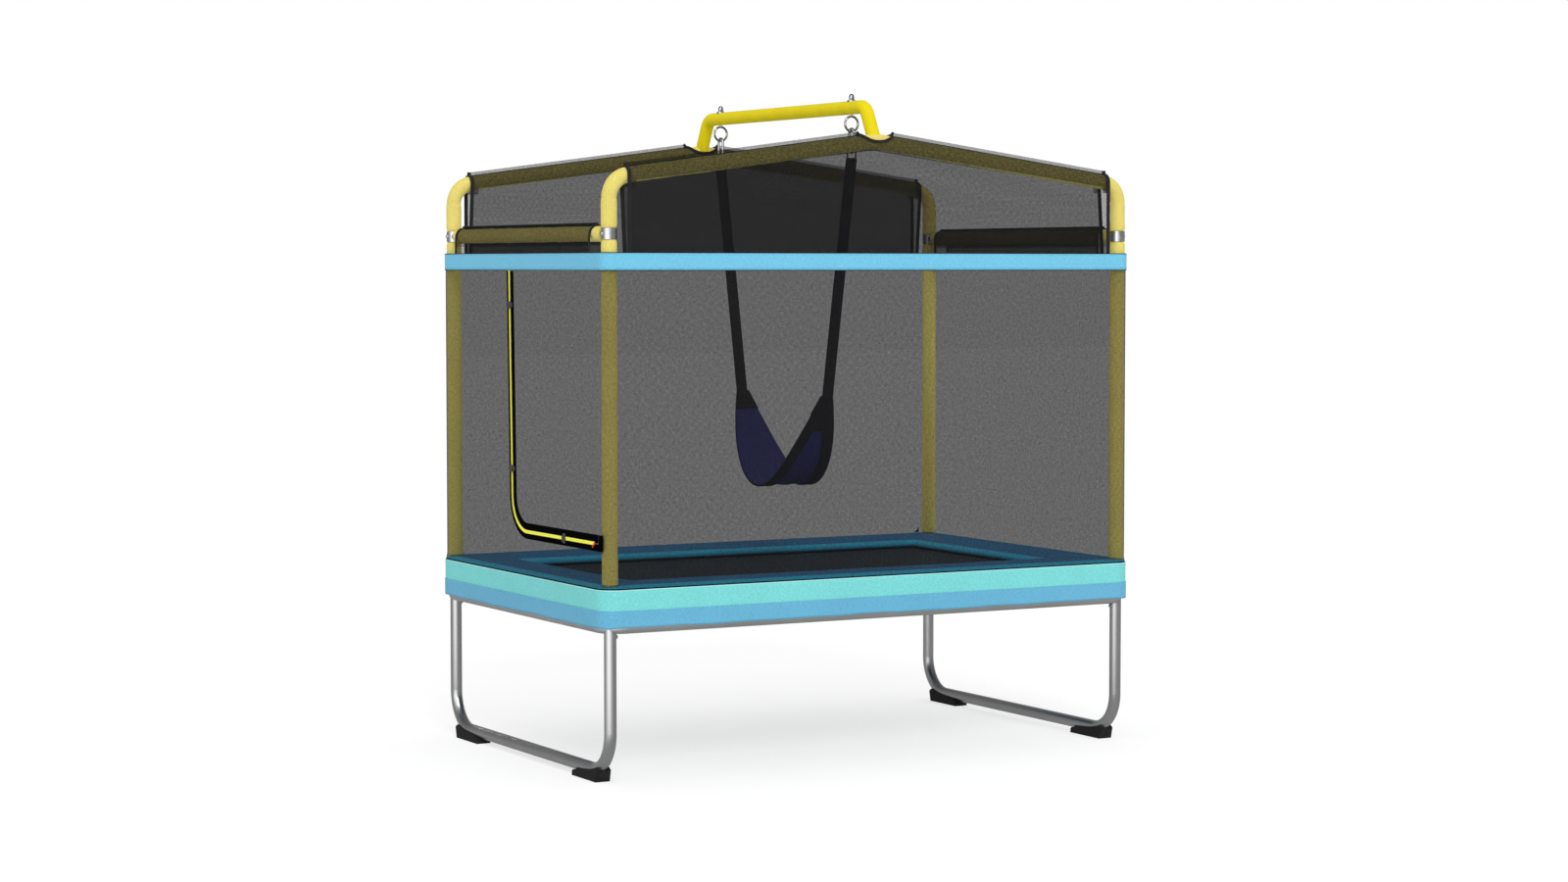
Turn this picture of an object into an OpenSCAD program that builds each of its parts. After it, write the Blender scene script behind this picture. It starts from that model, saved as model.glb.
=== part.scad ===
// Children's rectangular trampoline with a net enclosure, a gabled top frame and a sling swing.
// Origin: centre of the footprint on the floor. X along the long side, Y to the back, Z up.

/* [Frame] */
// Distance between the left and right pole axes
pole_span_x = 1760; // [1500:10:2000]
// Distance between the front and back pole axes
pole_span_y = 1114; // [960:2:1260]
// Outer diameter of the leg and frame ring tubes
ring_d = 36; // [32:1:40]
// Wall of the steel tubes
tube_wall = 1.5; // [1.2:0.1:2]
// Centreline bend radius of the frame ring's corners
ring_bend_r = 60; // [50:2:80]
// Height of the frame ring's centreline above the floor
ring_z = 453; // [400:5:520]
// Centreline bend radius of the legs
leg_bend_r = 115; // [90:5:130]
// Thickness of the rubber foot below the leg tube
foot_t = 14; // [8:1:20]

/* [Spring deck] */
// Height of the spring rails and the mat above the frame ring's centreline
deck_rise = 87; // [80:1:110]
// Outer diameter of the spring rails
rail_d = 25; // [22:1:28]
// Free gap between the spring rails and the edge of the mat
spring_gap = 102; // [90:1:115]
// Thickness of the jumping mat
mat_t = 3; // [2:0.5:4]
// Springs along each long side
spring_count_long = 12; // [8:1:14]
// Springs along each short side
spring_count_short = 7; // [5:1:8]
// Outer diameter of a spring's coil
spring_d = 14; // [12:1:16]

/* [Pad and skirt] */
// Thickness of the edge pad
pad_t = 25; // [18:1:32]
// Width of the edge pad, from its outer edge to the opening
pad_w = 204; // [180:2:230]
// Height of the upper skirt strip
skirt_upper_h = 59; // [40:1:70]
// Height of the lower skirt strip
skirt_lower_h = 54; // [40:1:60]

/* [Enclosure] */
// Outer diameter of the pole and gable tubes
pole_d = 32; // [28:1:34]
// Outer diameter of the foam sleeves
foam_d = 48; // [44:1:54]
// Height of the centre of the pole joints
joint_z = 1581; // [1450:5:1700]
// Rise of the gable tubes' centreline from the pole joints to the apex
gable_rise = 277; // [250:1:310]
// Fall of the gable tubes from the apex, in degrees
gable_slope = 7.65; // [4:0.05:10]
// Centreline bend radius of the gable tubes
gable_bend_r = 68; // [60:2:80]
// Thickness of the net
net_t = 1.2; // [0.8:0.1:1.6]
// Height of the top of the band round the net
band_z = 1527; // [1400:5:1540]
// Height of the band round the net
band_h = 51; // [30:1:80]

/* [Door] */
// Place of the zip's vertical run at its top, from the centre
zip_y = 66; // [0:2:120]
// Lean of the zip's vertical run, in degrees
zip_lean = 1.5; // [0:0.5:4]
// Height of the zip's level run
zip_z = 694; // [640:2:760]
// Radius of the zip's corner
zip_r = 105; // [90:5:160]
// Distance from the pole axis to the door's sewn edge
door_hinge_gap = 12; // [8:2:60]

/* [Swing] */
// Outer diameter of the swing bar
bar_d = 41; // [34:1:44]
// Height of the swing bar's centreline above the gables' apex
bar_rise = 107; // [95:1:140]
// Distance from the centre to each eye bolt
eye_y = 420; // [380:5:430]
// Height of the bottom of the sling seat
seat_z = 805; // [740:5:900]
// Height of the sling seat from its bottom to its top edges
sling_h = 285; // [260:5:320]
// Width of the sling seat at its bottom
seat_w = 185; // [140:5:220]
// Width of the swing's straps
strap_w = 38; // [30:1:44]

/* [Hidden] */

steel = "silver";
foam_yellow = [0.93, 0.87, 0.47];
bar_yellow = [0.82, 0.75, 0.12];
sky = [0.45, 0.78, 0.92];
turquoise = [0.5, 0.88, 0.88];
net_grey = [0.3, 0.3, 0.3, 0.6];

$fn = 48;
// Clearance between pieces that slide or stand beside each other
gap = 0.3;
eps = 0.01;

px = pole_span_x / 2;
py = pole_span_y / 2;
apex_z = joint_z + gable_rise;
bar_z = apex_z + bar_rise;
ring_r = ring_d / 2;
rail_r = rail_d / 2;
pole_r = pole_d / 2;
foam_r = foam_d / 2;
// The ring's rounded corner passes under the pole axis
corner_shift = ring_bend_r * (1 - sqrt(0.5));
ring_x = px + corner_shift;
ring_y = py + corner_shift;
deck_z = ring_z + deck_rise;
pad_bottom = deck_z + rail_r + 0.5;
pad_top = pad_bottom + pad_t;
foam_bottom = pad_top + gap;

// Outer faces, each stepping out from the last
net_out = foam_r + 5;
net_x = px + net_out;
net_y = py + net_out;
net_corner_r = foam_r + 10;
skirt_t = 2;
skirt_ease = 3;
skirt_x = ring_x + ring_r + skirt_ease + skirt_t;
skirt_y = ring_y + ring_r + skirt_ease + skirt_t;
skirt_corner_r = 60;
// Strips that are sewn together lap by this much
skirt_lap = 12;
hem_lap = 6;
hem_in = 2 * skirt_t + gap;
pad_in = hem_in + net_t + gap;
skirt_top = pad_bottom + 9;
skirt_mid = skirt_top - skirt_upper_h;
skirt_bottom = skirt_mid - skirt_lower_h;
net_bottom = pad_top + gap;

// Seam between tube sections that are joined end to end on a slant
seam = 0.05;

function tenth(v) = round(v * 10) / 10;

// ---- shared shapes ----

// Rounded rectangle of half sizes hx and hy, with true arcs
module round_rect(hx, hy, r) {
    square([2 * (hx - r), 2 * hy], center = true);
    square([2 * hx, 2 * (hy - r)], center = true);
    for (sx = [-1, 1], sy = [-1, 1])
        translate([sx * (hx - r), sy * (hy - r)])
            circle(r);
}

// Upright wall that follows a rounded rectangle, outer face at hx and hy
module wall_ring(hx, hy, r, t, z0, z1) {
    translate([0, 0, z0])
        linear_extrude(z1 - z0)
            difference() {
                round_rect(hx, hy, r);
                round_rect(hx - t, hy - t, r - t);
            }
}

// Round rod of radius r from point a, of length len, along +X, +Y or +Z turned by rot
module rod(a, rot, len, r) {
    translate(a)
        rotate(rot)
            cylinder(r = r, h = len);
}

// Quarter bend in the XY plane, from the +X side to the +Y side
module bend(bend_r, r, angle = 90) {
    rotate_extrude(angle = angle)
        translate([bend_r, 0])
            circle(r);
}

module at_corner(sx, sy) {
    translate([sx * px, sy * py, 0])
        children();
}

module mirror_x() {
    children();
    mirror([1, 0, 0]) children();
}

module mirror_y() {
    children();
    mirror([0, 1, 0]) children();
}

// ---- legs and feet ----

leg_top = ring_z;
rail_low_z = foot_t + ring_r;

// One U-shaped leg's solid outline of tube radius r, at x = 0
module leg_form(r, top) {
    mirror_y() {
        translate([0, py, rail_low_z + leg_bend_r])
            cylinder(r = r, h = top - rail_low_z - leg_bend_r);
        translate([0, py - leg_bend_r, rail_low_z + leg_bend_r])
            rotate([0, 90, 0])
                bend(leg_bend_r, r);
        translate([0, -eps, rail_low_z])
            rotate([-90, 0, 0])
                cylinder(r = r, h = py - leg_bend_r + eps);
    }
}

// The ring's outer solid round one corner of the end at x = px
module ring_corner(r) {
    mirror_y()
        translate([ring_x - ring_bend_r, ring_y - ring_bend_r, ring_z])
            bend(ring_bend_r, r);
}

module leg(side) {
    color(steel)
        mirror([side < 0 ? 1 : 0, 0, 0])
            difference() {
                translate([px, 0, 0])
                    leg_form(ring_r, leg_top);
                translate([px, 0, 0])
                    leg_form(ring_r - tube_wall, leg_top + 1);
                ring_corner(ring_r + gap);
            }
}

foot_w = 46;
foot_tip = py - 212;
foot_heel = py - 52;
foot_h = 42;

module feet() {
    color("black")
        for (sx = [-1, 1])
            translate([sx * px, 0, 0])
                difference() {
                    mirror_y()
                        translate([-foot_w / 2, 0, 0])
                            rotate([90, 0, 90])
                                linear_extrude(foot_w)
                                    polygon([[foot_tip, 0], [foot_heel, 0], [foot_heel + 8, foot_h - 8],
                                        [foot_heel - 4, foot_h], [foot_heel - 40, foot_h - 8],
                                        [foot_tip + 6, foot_t + 4], [foot_tip, foot_t - 2]]);
                    leg_form(ring_r + gap / 3, leg_top);
                }
}

// ---- frame ring, sockets and spring rails ----

spigot_r = ring_r - tube_wall - gap;
spigot_h = 60;
socket_r = pole_r + gap + tube_wall + 2;
socket_top = pad_bottom - 1;
joint_x = 520;

// Outer solid of one end frame: the short side, its corners and the pole sockets
module end_frame_outer(r) {
    mirror_y() {
        translate([ring_x, -eps, ring_z])
            rotate([-90, 0, 0])
                cylinder(r = r, h = ring_y - ring_bend_r + eps);
        translate([joint_x, ring_y, ring_z])
            rotate([0, 90, 0])
                cylinder(r = r, h = ring_x - ring_bend_r - joint_x);
    }
    ring_corner(r);
}

module end_frame(side) {
    color(steel)
        mirror([side < 0 ? 1 : 0, 0, 0])
            difference() {
                union() {
                    end_frame_outer(ring_r);
                    mirror_y()
                        translate([px, py, ring_z - spigot_h - ring_r])
                            cylinder(r = spigot_r, h = spigot_h + ring_r);
                    mirror_y()
                        translate([px, py, ring_z])
                            cylinder(r = socket_r, h = socket_top - ring_z);
                    translate([px, -py, deck_z])
                        rotate([-90, 0, 0])
                            cylinder(r = rail_r, h = 2 * py);
                    hook_tabs(py, spring_count_short, px - rail_r);
                }
                end_frame_outer(ring_r - tube_wall);
                mirror_y()
                    translate([px, py, ring_z - spigot_h - ring_r - 1])
                        cylinder(r = spigot_r - tube_wall, h = spigot_h);
                mirror_y()
                    translate([px, py, ring_z + ring_r + 4])
                        cylinder(r = pole_r + gap, h = deck_rise);
                translate([px, -py + socket_r, deck_z])
                    rotate([-90, 0, 0])
                        cylinder(r = rail_r - tube_wall, h = 2 * (py - socket_r));
                hook_holes(py, spring_count_short, px - rail_r);
            }
}

// Long tubes of the ring, with swaged ends that plug into the end frames
swage_h = 50;
swage_r = ring_r - tube_wall - gap;

module side_rails() {
    color(steel)
        mirror_y()
            translate([0, ring_y, ring_z])
                rotate([0, 90, 0])
                    difference() {
                        union() {
                            cylinder(r = ring_r, h = 2 * (joint_x - gap), center = true);
                            cylinder(r = swage_r, h = 2 * (joint_x + swage_h), center = true);
                        }
                        cylinder(r = swage_r - tube_wall, h = 2 * (joint_x + swage_h) + 1, center = true);
                    }
}

module spring_rails() {
    color(steel)
        mirror_y()
            difference() {
                union() {
                    translate([0, py, deck_z])
                        rotate([0, 90, 0])
                            cylinder(r = rail_r, h = 2 * px - 10, center = true);
                    rotate([0, 0, 90])
                        hook_tabs(px, spring_count_long, py - rail_r);
                }
                translate([0, py, deck_z])
                    rotate([0, 90, 0])
                        cylinder(r = rail_r - tube_wall, h = 2 * px, center = true);
                rotate([0, 0, 90])
                    hook_holes(px, spring_count_long, py - rail_r);
                for (sx = [-1, 1])
                    translate([sx * px, py, deck_z - rail_r - 1])
                        cylinder(r = socket_r + gap, h = rail_d + 2);
            }
}

// ---- spring deck ----

spring_margin = 150;
tab_l = 9;
tab_hole = 5;
tab_w = 10;
tab_t = 2;
tab_hole_r = 2.6;
mat_corner_r = 30;
wire_r = 1.2;
loop_r = 5.5;
mat_x = px - rail_r - spring_gap;
mat_y = py - rail_r - spring_gap;
ring_len = 24;
ring_wire = 1.3;
ring_half = 15;

function spring_place(half, n, i) = -half + spring_margin + i * 2 * (half - spring_margin) / (n - 1);

// Drilled tabs along an edge that runs in Y, standing inwards from x = face
module hook_tabs(half, n, face) {
    for (i = [0 : n - 1])
        translate([face - tab_l, spring_place(half, n, i) - tab_w / 2, deck_z - tab_t / 2])
            cube([tab_l + 1, tab_w, tab_t]);
}

module hook_holes(half, n, face) {
    for (i = [0 : n - 1])
        translate([face - tab_hole, spring_place(half, n, i), deck_z - tab_t])
            cylinder(r = tab_hole_r, h = 2 * tab_t);
}

// The wound body starts half a wire inside the loop at each end
loop_r_out = 4.5;
coil_x0 = tab_hole + 2 * loop_r - wire_r / 2;
hook_lap = 7;
coil_len = spring_gap - ring_len - loop_r_out - coil_x0 - 2 * loop_r + wire_r + hook_lap;
coil_taper = 4;
coil_ribs = 4;
rib_d = 1.4;

// Outline of the wound body: a rib for every few turns, and a taper to each hook
function coil_outline() = concat(
    [[0, 0], [wire_r * 2, 0]],
    [for (i = [0 : coil_ribs]) each [
        [spring_d / 2 - rib_d, coil_taper + i * (coil_len - 2 * coil_taper) / (coil_ribs + 0.5)],
        [spring_d / 2, coil_taper + (i + 0.5) * (coil_len - 2 * coil_taper) / (coil_ribs + 0.5)]]],
    [[wire_r * 2, coil_len], [0, coil_len]]);

// One spring along -X from the tab at x = 0, z = 0
module spring() {
    translate([-coil_x0, 0, 0])
        rotate([0, -90, 0])
            rotate_extrude($fn = 16)
                polygon(coil_outline());
    for (x = [-tab_hole - loop_r, -coil_x0 - coil_len - loop_r + wire_r / 2])
        translate([x, 0, 0])
            rotate([90, 0, 0])
                rotate_extrude($fn = 16)
                    translate([loop_r, 0])
                        circle(wire_r, $fn = 13);
}

module springs(half, n, face) {
    color(steel)
        for (i = [0 : n - 1])
            translate([face, spring_place(half, n, i), deck_z])
                spring();
}

module mat() {
    color("black")
        translate([0, 0, deck_z - mat_t / 2])
            linear_extrude(mat_t)
                round_rect(mat_x, mat_y, mat_corner_r);
}

// The first child on both short sides, and the second on both long sides
module each_side() {
    for (s = [0, 180])
        rotate([0, 0, s])
            children(0);
    for (s = [90, 270])
        rotate([0, 0, s])
            children(1);
}

loop_len = 18;

// Webbing loops sewn on the mat's edge, each holding a triangular ring
module loops_along(half, n, edge) {
    for (i = [0 : n - 1])
        translate([edge + loop_r_out, spring_place(half, n, i) - loop_len / 2, deck_z])
            rotate([-90, 0, 0])
                difference() {
                    cylinder(r = loop_r_out, h = loop_len, $fn = 24);
                    translate([0, 0, -1])
                        cylinder(r = 1.5 * ring_wire + gap, h = loop_len + 2, $fn = 24);
                }
}

module mat_loops() {
    color("black")
        each_side() {
            loops_along(py, spring_count_short, mat_x);
            loops_along(px, spring_count_long, mat_y);
        }
}

// Triangular ring in the mat's plane, its base bar in a webbing loop
module tri_ring() {
    reach = ring_len - 2 * ring_wire;
    inner = 0.75;
    translate([0, 0, -ring_wire])
        linear_extrude(2 * ring_wire)
            difference() {
                polygon([[-ring_wire, -ring_half], [-ring_wire, ring_half], [ring_wire, ring_half],
                    [reach, 2 * ring_wire], [reach, -2 * ring_wire], [ring_wire, -ring_half]]);
                polygon([[ring_wire, -ring_half * inner], [ring_wire, ring_half * inner],
                    [reach - 2 * ring_wire, ring_wire], [reach - 2 * ring_wire, -ring_wire]]);
            }
}

module rings_along(half, n, edge) {
    for (i = [0 : n - 1])
        translate([edge + loop_r_out, spring_place(half, n, i), deck_z])
            tri_ring();
}

module mat_rings() {
    color(steel)
        each_side() {
            rings_along(py, spring_count_short, mat_x);
            rings_along(px, spring_count_long, mat_y);
        }
}

// ---- pad and skirt ----

pad_x = skirt_x - pad_in;
pad_y = skirt_y - pad_in;

module pad() {
    color(sky)
        difference() {
            translate([0, 0, pad_bottom])
                linear_extrude(pad_t)
                    difference() {
                        round_rect(pad_x, pad_y, skirt_corner_r - pad_in);
                        round_rect(pad_x - pad_w, pad_y - pad_w, 20);
                    }
            for (sx = [-1, 1], sy = [-1, 1])
                translate([sx * px, sy * py, pad_bottom - 1])
                    cylinder(r = pole_r + gap, h = pad_t + 2);
        }
}

module skirt_upper() {
    color(turquoise)
        wall_ring(skirt_x - skirt_t, skirt_y - skirt_t, skirt_corner_r - skirt_t, skirt_t,
            skirt_mid - skirt_lap, skirt_top);
}

module skirt_lower() {
    color(sky)
        wall_ring(skirt_x, skirt_y, skirt_corner_r, skirt_t, skirt_bottom, skirt_mid);
}

// ---- poles, joints, gables and end rails ----

pole_bottom = ring_z + ring_r + 5;
joint_h = 32;
joint_r = foam_r - 1;
gable_drop = tan(gable_slope);
bend_angle = 90 - gable_slope;
bend_cx = px - gable_bend_r;
bend_end_x = bend_cx + gable_bend_r * cos(bend_angle);
apex_bend_r = 150;
apex_vertex_z = apex_z + apex_bend_r * (1 / cos(gable_slope) - 1);
// Heights and lengths of tubes are rounded to a tenth, as they would be cut
bend_z = tenth(apex_vertex_z - bend_end_x * gable_drop - gable_bend_r * sin(bend_angle));
slope_len = bend_end_x / cos(gable_slope) - apex_bend_r * gable_drop;

module tube(r, wall, h) {
    difference() {
        cylinder(r = r, h = h);
        translate([0, 0, -1])
            cylinder(r = r - wall, h = h + 2);
    }
}

module pole(sx, sy) {
    color(bar_yellow)
        at_corner(sx, sy)
            translate([0, 0, pole_bottom])
                tube(pole_r, tube_wall, joint_z - gap - pole_bottom);
}

module pole_foam(sx, sy) {
    color(foam_yellow)
        at_corner(sx, sy)
            translate([0, 0, foam_bottom])
                tube(foam_r, foam_r - pole_r - gap, joint_z - joint_h / 2 - gap - foam_bottom);
}

rail_in_r = 14;
stub_len = 34;

// Clamped cross joint: a collar round the pole with a side socket for the end rail
module pole_joints() {
    color(steel)
        for (sx = [-1, 1])
            mirror_y()
                translate([sx * px, py, joint_z])
                    difference() {
                        union() {
                            translate([0, 0, -joint_h / 2])
                                cylinder(r = joint_r, h = joint_h);
                            rotate([90, 0, 0])
                                cylinder(r = joint_h / 2 - 1, h = stub_len);
                        }
                        translate([0, 0, -joint_h])
                            cylinder(r = pole_r + gap, h = 2 * joint_h);
                        rotate([90, 0, 0])
                            cylinder(r = rail_in_r - tube_wall - gap, h = stub_len + 1);
                    }
}

// Half of a gable's solid at y = 0, from the joint up to the bend at the apex, on the +X side
module gable_half(r, z0) {
    translate([px, 0, z0])
        cylinder(r = r, h = bend_z - z0);
    translate([bend_cx, 0, bend_z])
        rotate([90, 0, 0])
            bend(gable_bend_r, r, bend_angle);
    translate([bend_end_x, 0, bend_z + gable_bend_r * sin(bend_angle)])
        rotate([0, -bend_angle, 0])
            translate([0, 0, seam])
                cylinder(r = r, h = slope_len - 2 * seam);
}

// A full gable of radius r: both slopes, joined by a shallow bend at the apex
module gable_form(r, z0) {
    mirror_x()
        gable_half(r, z0);
    translate([0, 0, apex_z - apex_bend_r])
        rotate([90, 0, 0])
            rotate([0, 0, 90 - gable_slope])
                bend(apex_bend_r, r, 2 * gable_slope);
}

// Lean of the swing bar's legs, from the bar's end down to the gable's apex
bar_end_y = py - 54;
bar_lean = atan((py - bar_end_y) / (bar_z - apex_z));
bar_r = bar_d / 2;
bar_bend_r = 45;
bar_bend = 90 - bar_lean;
bar_tangent = bar_bend_r * tan(bar_bend / 2);
bar_straight = tenth(bar_end_y - bar_tangent);

// The swing bar's leg, as a straight rod of radius r through the apex, on the +Y side
module bar_leg_line(r, down) {
    translate([0, bar_end_y, bar_z])
        rotate([bar_lean + 180, 0, 0])
            translate([0, 0, bar_tangent + seam])
                cylinder(r = r, h = (bar_z - apex_z) / cos(bar_lean) - bar_tangent + down);
}

module gable(sy) {
    color(bar_yellow)
        mirror([0, sy < 0 ? 1 : 0, 0])
            translate([0, py, 0])
                difference() {
                    gable_form(pole_r, joint_z + gap);
                    gable_form(pole_r - tube_wall, joint_z - 5);
                }
}

module gable_foam(sy) {
    color(foam_yellow)
        mirror([0, sy < 0 ? 1 : 0, 0])
            difference() {
                translate([0, py, 0])
                    gable_form(foam_r, joint_z + joint_h / 2 + gap);
                translate([0, py, 0])
                    gable_form(pole_r + gap, joint_z);
                bar_leg_line(bar_r + gap, 0);
            }
}

end_rail_half = py - joint_r - 2;

module end_rail(side) {
    color(bar_yellow)
        translate([side * px, 0, joint_z])
            rotate([90, 0, 0])
                difference() {
                    union() {
                        cylinder(r = rail_in_r, h = 2 * (py - stub_len - gap), center = true);
                        cylinder(r = rail_in_r - tube_wall - 2 * gap, h = 2 * end_rail_half, center = true);
                    }
                    cylinder(r = rail_in_r - 2 * tube_wall - 2 * gap, h = 2 * py, center = true);
                }
}

end_foam_r = foam_r - 1;

module end_foam(side) {
    color(foam_yellow)
        translate([side * px, 0, joint_z])
            rotate([90, 0, 0])
                difference() {
                    cylinder(r = end_foam_r, h = 2 * (py - stub_len - 2 * gap), center = true);
                    cylinder(r = rail_in_r + gap, h = 2 * py, center = true);
                }
}

// ---- net walls ----

net_top = band_z - 2;

// The part of the net ring on one side, cut from the full ring by a box in X and Y
module net_side(x0, x1, y0, y1) {
    color(net_grey)
        intersection() {
            wall_ring(net_x, net_y, net_corner_r, net_t, net_bottom, net_top);
            translate([x0, y0, net_bottom - 1])
                cube([x1 - x0, y1 - y0, net_top - net_bottom + 2]);
        }
}

// The long walls carry the rounded corners, and the short walls are flat between them
split_y = net_y - net_corner_r;

module net_long(sy) {
    mirror([0, sy < 0 ? 1 : 0, 0])
        net_side(-net_x - 1, net_x + 1, split_y + gap, net_y + 1);
}

module net_right() {
    net_side(0, net_x + 1, -split_y, split_y);
}

// The net's foot: out over the pad's edge and down to where it is sewn to the skirt
module net_hem() {
    hem_z0 = skirt_top - hem_lap;
    color("black")
        difference() {
            translate([0, 0, hem_z0])
                linear_extrude(net_bottom + net_t - hem_z0)
                    round_rect(skirt_x - hem_in, skirt_y - hem_in, skirt_corner_r - hem_in);
            translate([0, 0, hem_z0 - 1])
                linear_extrude(net_bottom - hem_z0 + 1)
                    round_rect(pad_x + gap, pad_y + gap, skirt_corner_r - pad_in + gap);
            translate([0, 0, net_bottom - 1])
                linear_extrude(net_t + 2)
                    round_rect(net_x + gap, net_y + gap, net_corner_r + gap);
        }
}

band_t = 2;

module band() {
    color(sky)
        wall_ring(net_x + gap + band_t, net_y + gap + band_t, net_corner_r + gap + band_t, band_t,
            band_z - band_h, band_z);
}

// ---- door, zip and clips in the left wall ----

hinge_y = -py + door_hinge_gap;
door_top = band_z - band_h - 2;
arc_steps = 10;
zip_run_top = door_top + 2;
// Where the level run meets the corner's arc
arc_y = zip_y - (zip_run_top - zip_z - zip_r) * tan(zip_lean) - zip_r;

// The zip's line, moved by d towards the door, from the hinge end up to the top
function zip_line(d, y_start, z_top) = concat(
    [[y_start, zip_z + d]],
    [for (i = [0 : arc_steps])
        let (a = -90 + i * (90 - zip_lean) / arc_steps)
        [arc_y + (zip_r - d) * cos(a), zip_z + zip_r + (zip_r - d) * sin(a)]],
    [[top_y(d, z_top), z_top]]);

// Y of the leaning run at height z, for a line moved by d
function top_y(d, z) =
    let (a = -zip_lean)
    arc_y + (zip_r - d) * cos(a) + (z - zip_z - zip_r - (zip_r - d) * sin(a)) * tan(zip_lean);

function backwards(list) = [for (i = [len(list) - 1 : -1 : 0]) list[i]];

// Strip along the zip between two offsets, standing out of the net from x0 to x1
module zip_strip(d0, d1, x0, x1, y_start, z_top) {
    translate([-x1, 0, 0])
        rotate([90, 0, 90])
            linear_extrude(x1 - x0)
                polygon(concat(zip_line(d0, y_start, z_top), backwards(zip_line(d1, y_start, z_top))));
}

tape_in = 26;
tape_out = 22;
tooth_w = 4.5;
tape_t = 1;
tooth_t = 2;
zip_end_y = hinge_y + 4;

// Outline of the door: the zip line, the sewn edge at the hinge and the top
module door_outline(d) {
    polygon(concat(zip_line(d, hinge_y, door_top), [[hinge_y, door_top]]));
}

module net_left() {
    color(net_grey)
        difference() {
            net_side_left();
            translate([-net_x - 1, 0, 0])
                rotate([90, 0, 90])
                    linear_extrude(net_t + 2)
                        polygon(concat(zip_line(-0.5, hinge_y - 1, zip_run_top),
                            [[hinge_y - 1, zip_run_top]]));
        }
}

module net_side_left() {
    intersection() {
        wall_ring(net_x, net_y, net_corner_r, net_t, net_bottom, net_top);
        translate([-net_x - 1, -split_y, net_bottom - 1])
            cube([net_x, 2 * split_y, net_top - net_bottom + 2]);
    }
}

module door_net() {
    color(net_grey)
        translate([-net_x, 0, 0])
            rotate([90, 0, 90])
                linear_extrude(net_t)
                    door_outline(0.5);
}

module zip_tape_wall() {
    color("black")
        zip_strip(-tape_out, -0.5, net_x, net_x + tape_t, hinge_y, door_top);
}

module zip_tape_door() {
    color("black")
        zip_strip(0.5, tape_in, net_x, net_x + tape_t, zip_end_y, door_top);
}

module zip_teeth_wall() {
    color("yellow")
        zip_strip(-tooth_w, -0.5, net_x + tape_t, net_x + tape_t + tooth_t, zip_end_y, door_top - 2);
}

module zip_teeth_door() {
    color("yellow")
        zip_strip(0.5, tooth_w, net_x + tape_t, net_x + tape_t + tooth_t, zip_end_y, door_top - 2);
}

clip_l = 60;
clip_w = 23;
clip_t = 2;
clip_foot = 12;
clip_reach = 33;
clip_eye_r = 1.2;
clip_in = 226;
clip_x = net_x + tape_t + tooth_t + gap;
// Heights of the two clips on the upright run, and the third one's place on the level run
clip_heights = [door_top - 102, zip_z + 185];
clip_y = hinge_y + clip_in;

// Stiffened tabs sewn to the door's tape, each lying across the zip
module door_clips() {
    color("black") {
        for (z = clip_heights)
            translate([-clip_x - clip_t, top_y(0, z), z])
                clip();
        translate([-clip_x - clip_t, clip_y, zip_z])
            rotate([-90, 0, 0])
                clip();
    }
}

// One tab: its drilled foot on the door's tape, its free end over the wall's tape
module clip() {
    difference() {
        union() {
            translate([0, -clip_reach, -clip_w / 2])
                cube([clip_t, clip_l, clip_w]);
            translate([0, -clip_reach, -clip_w / 2])
                cube([clip_t + tooth_t + gap, clip_foot, clip_w]);
        }
        translate([-1, -clip_reach + clip_foot / 2, 0])
            rotate([0, 90, 0])
                cylinder(r = clip_eye_r, h = 8, $fn = 16);
    }
}

slider_w = 16;
slider_l = 20;
slider_y = zip_end_y + 14;
slider_x = net_x + tape_t + tooth_t + gap;

// Slider body: a plate over the teeth with a bridge that holds the pull
module zip_slider() {
    color("red")
        difference() {
            union() {
                translate([-slider_x - 1.2, slider_y - slider_l / 2, zip_z - slider_w / 2])
                    cube([1.2, slider_l, slider_w]);
                translate([-slider_x - 3.4, slider_y - 4, zip_z - 3])
                    cube([3, 8, 6]);
            }
            translate([-slider_x - 2.3, slider_y - 5, zip_z])
                rotate([-90, 0, 0])
                    cylinder(r = 0.9, h = 10, $fn = 16);
        }
}

pull_l = 25;

// Pull tab: a bar through the bridge and a plate that hangs below it
module zip_pull() {
    color("red") {
        translate([-slider_x - 2.3, slider_y - 5.5, zip_z])
            rotate([-90, 0, 0])
                cylinder(r = 0.7, h = 11, $fn = 16);
        for (y = [-5.5, 4.5])
            translate([-slider_x - 3, slider_y + y, zip_z - 8])
                cube([1.4, 1, 8.5]);
        translate([-slider_x - 3, slider_y - 5.5, zip_z - pull_l])
            cube([1.4, 11, pull_l - 7]);
    }
}

// ---- net sleeves over the gables and the end rails ----

sleeve_gap = 0.8;
sleeve_r = foam_r + sleeve_gap;
flap_end = bend_end_x - 3;
flap_z0 = band_z - 27;
notch_w = 125;
notch_d = 28;
notch_r = (notch_w * notch_w / 4 + notch_d * notch_d) / (2 * notch_d);

// Outline across a net sleeve: half a circle over the foam and a wall down each side
module sleeve_outline(r, drop) {
    difference() {
        union() {
            circle(r + net_t);
            translate([-r - net_t, -drop])
                square([2 * (r + net_t), drop]);
        }
        union() {
            circle(r);
            translate([-r, -drop - 1])
                square([2 * r, drop + 1]);
        }
    }
}

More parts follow.
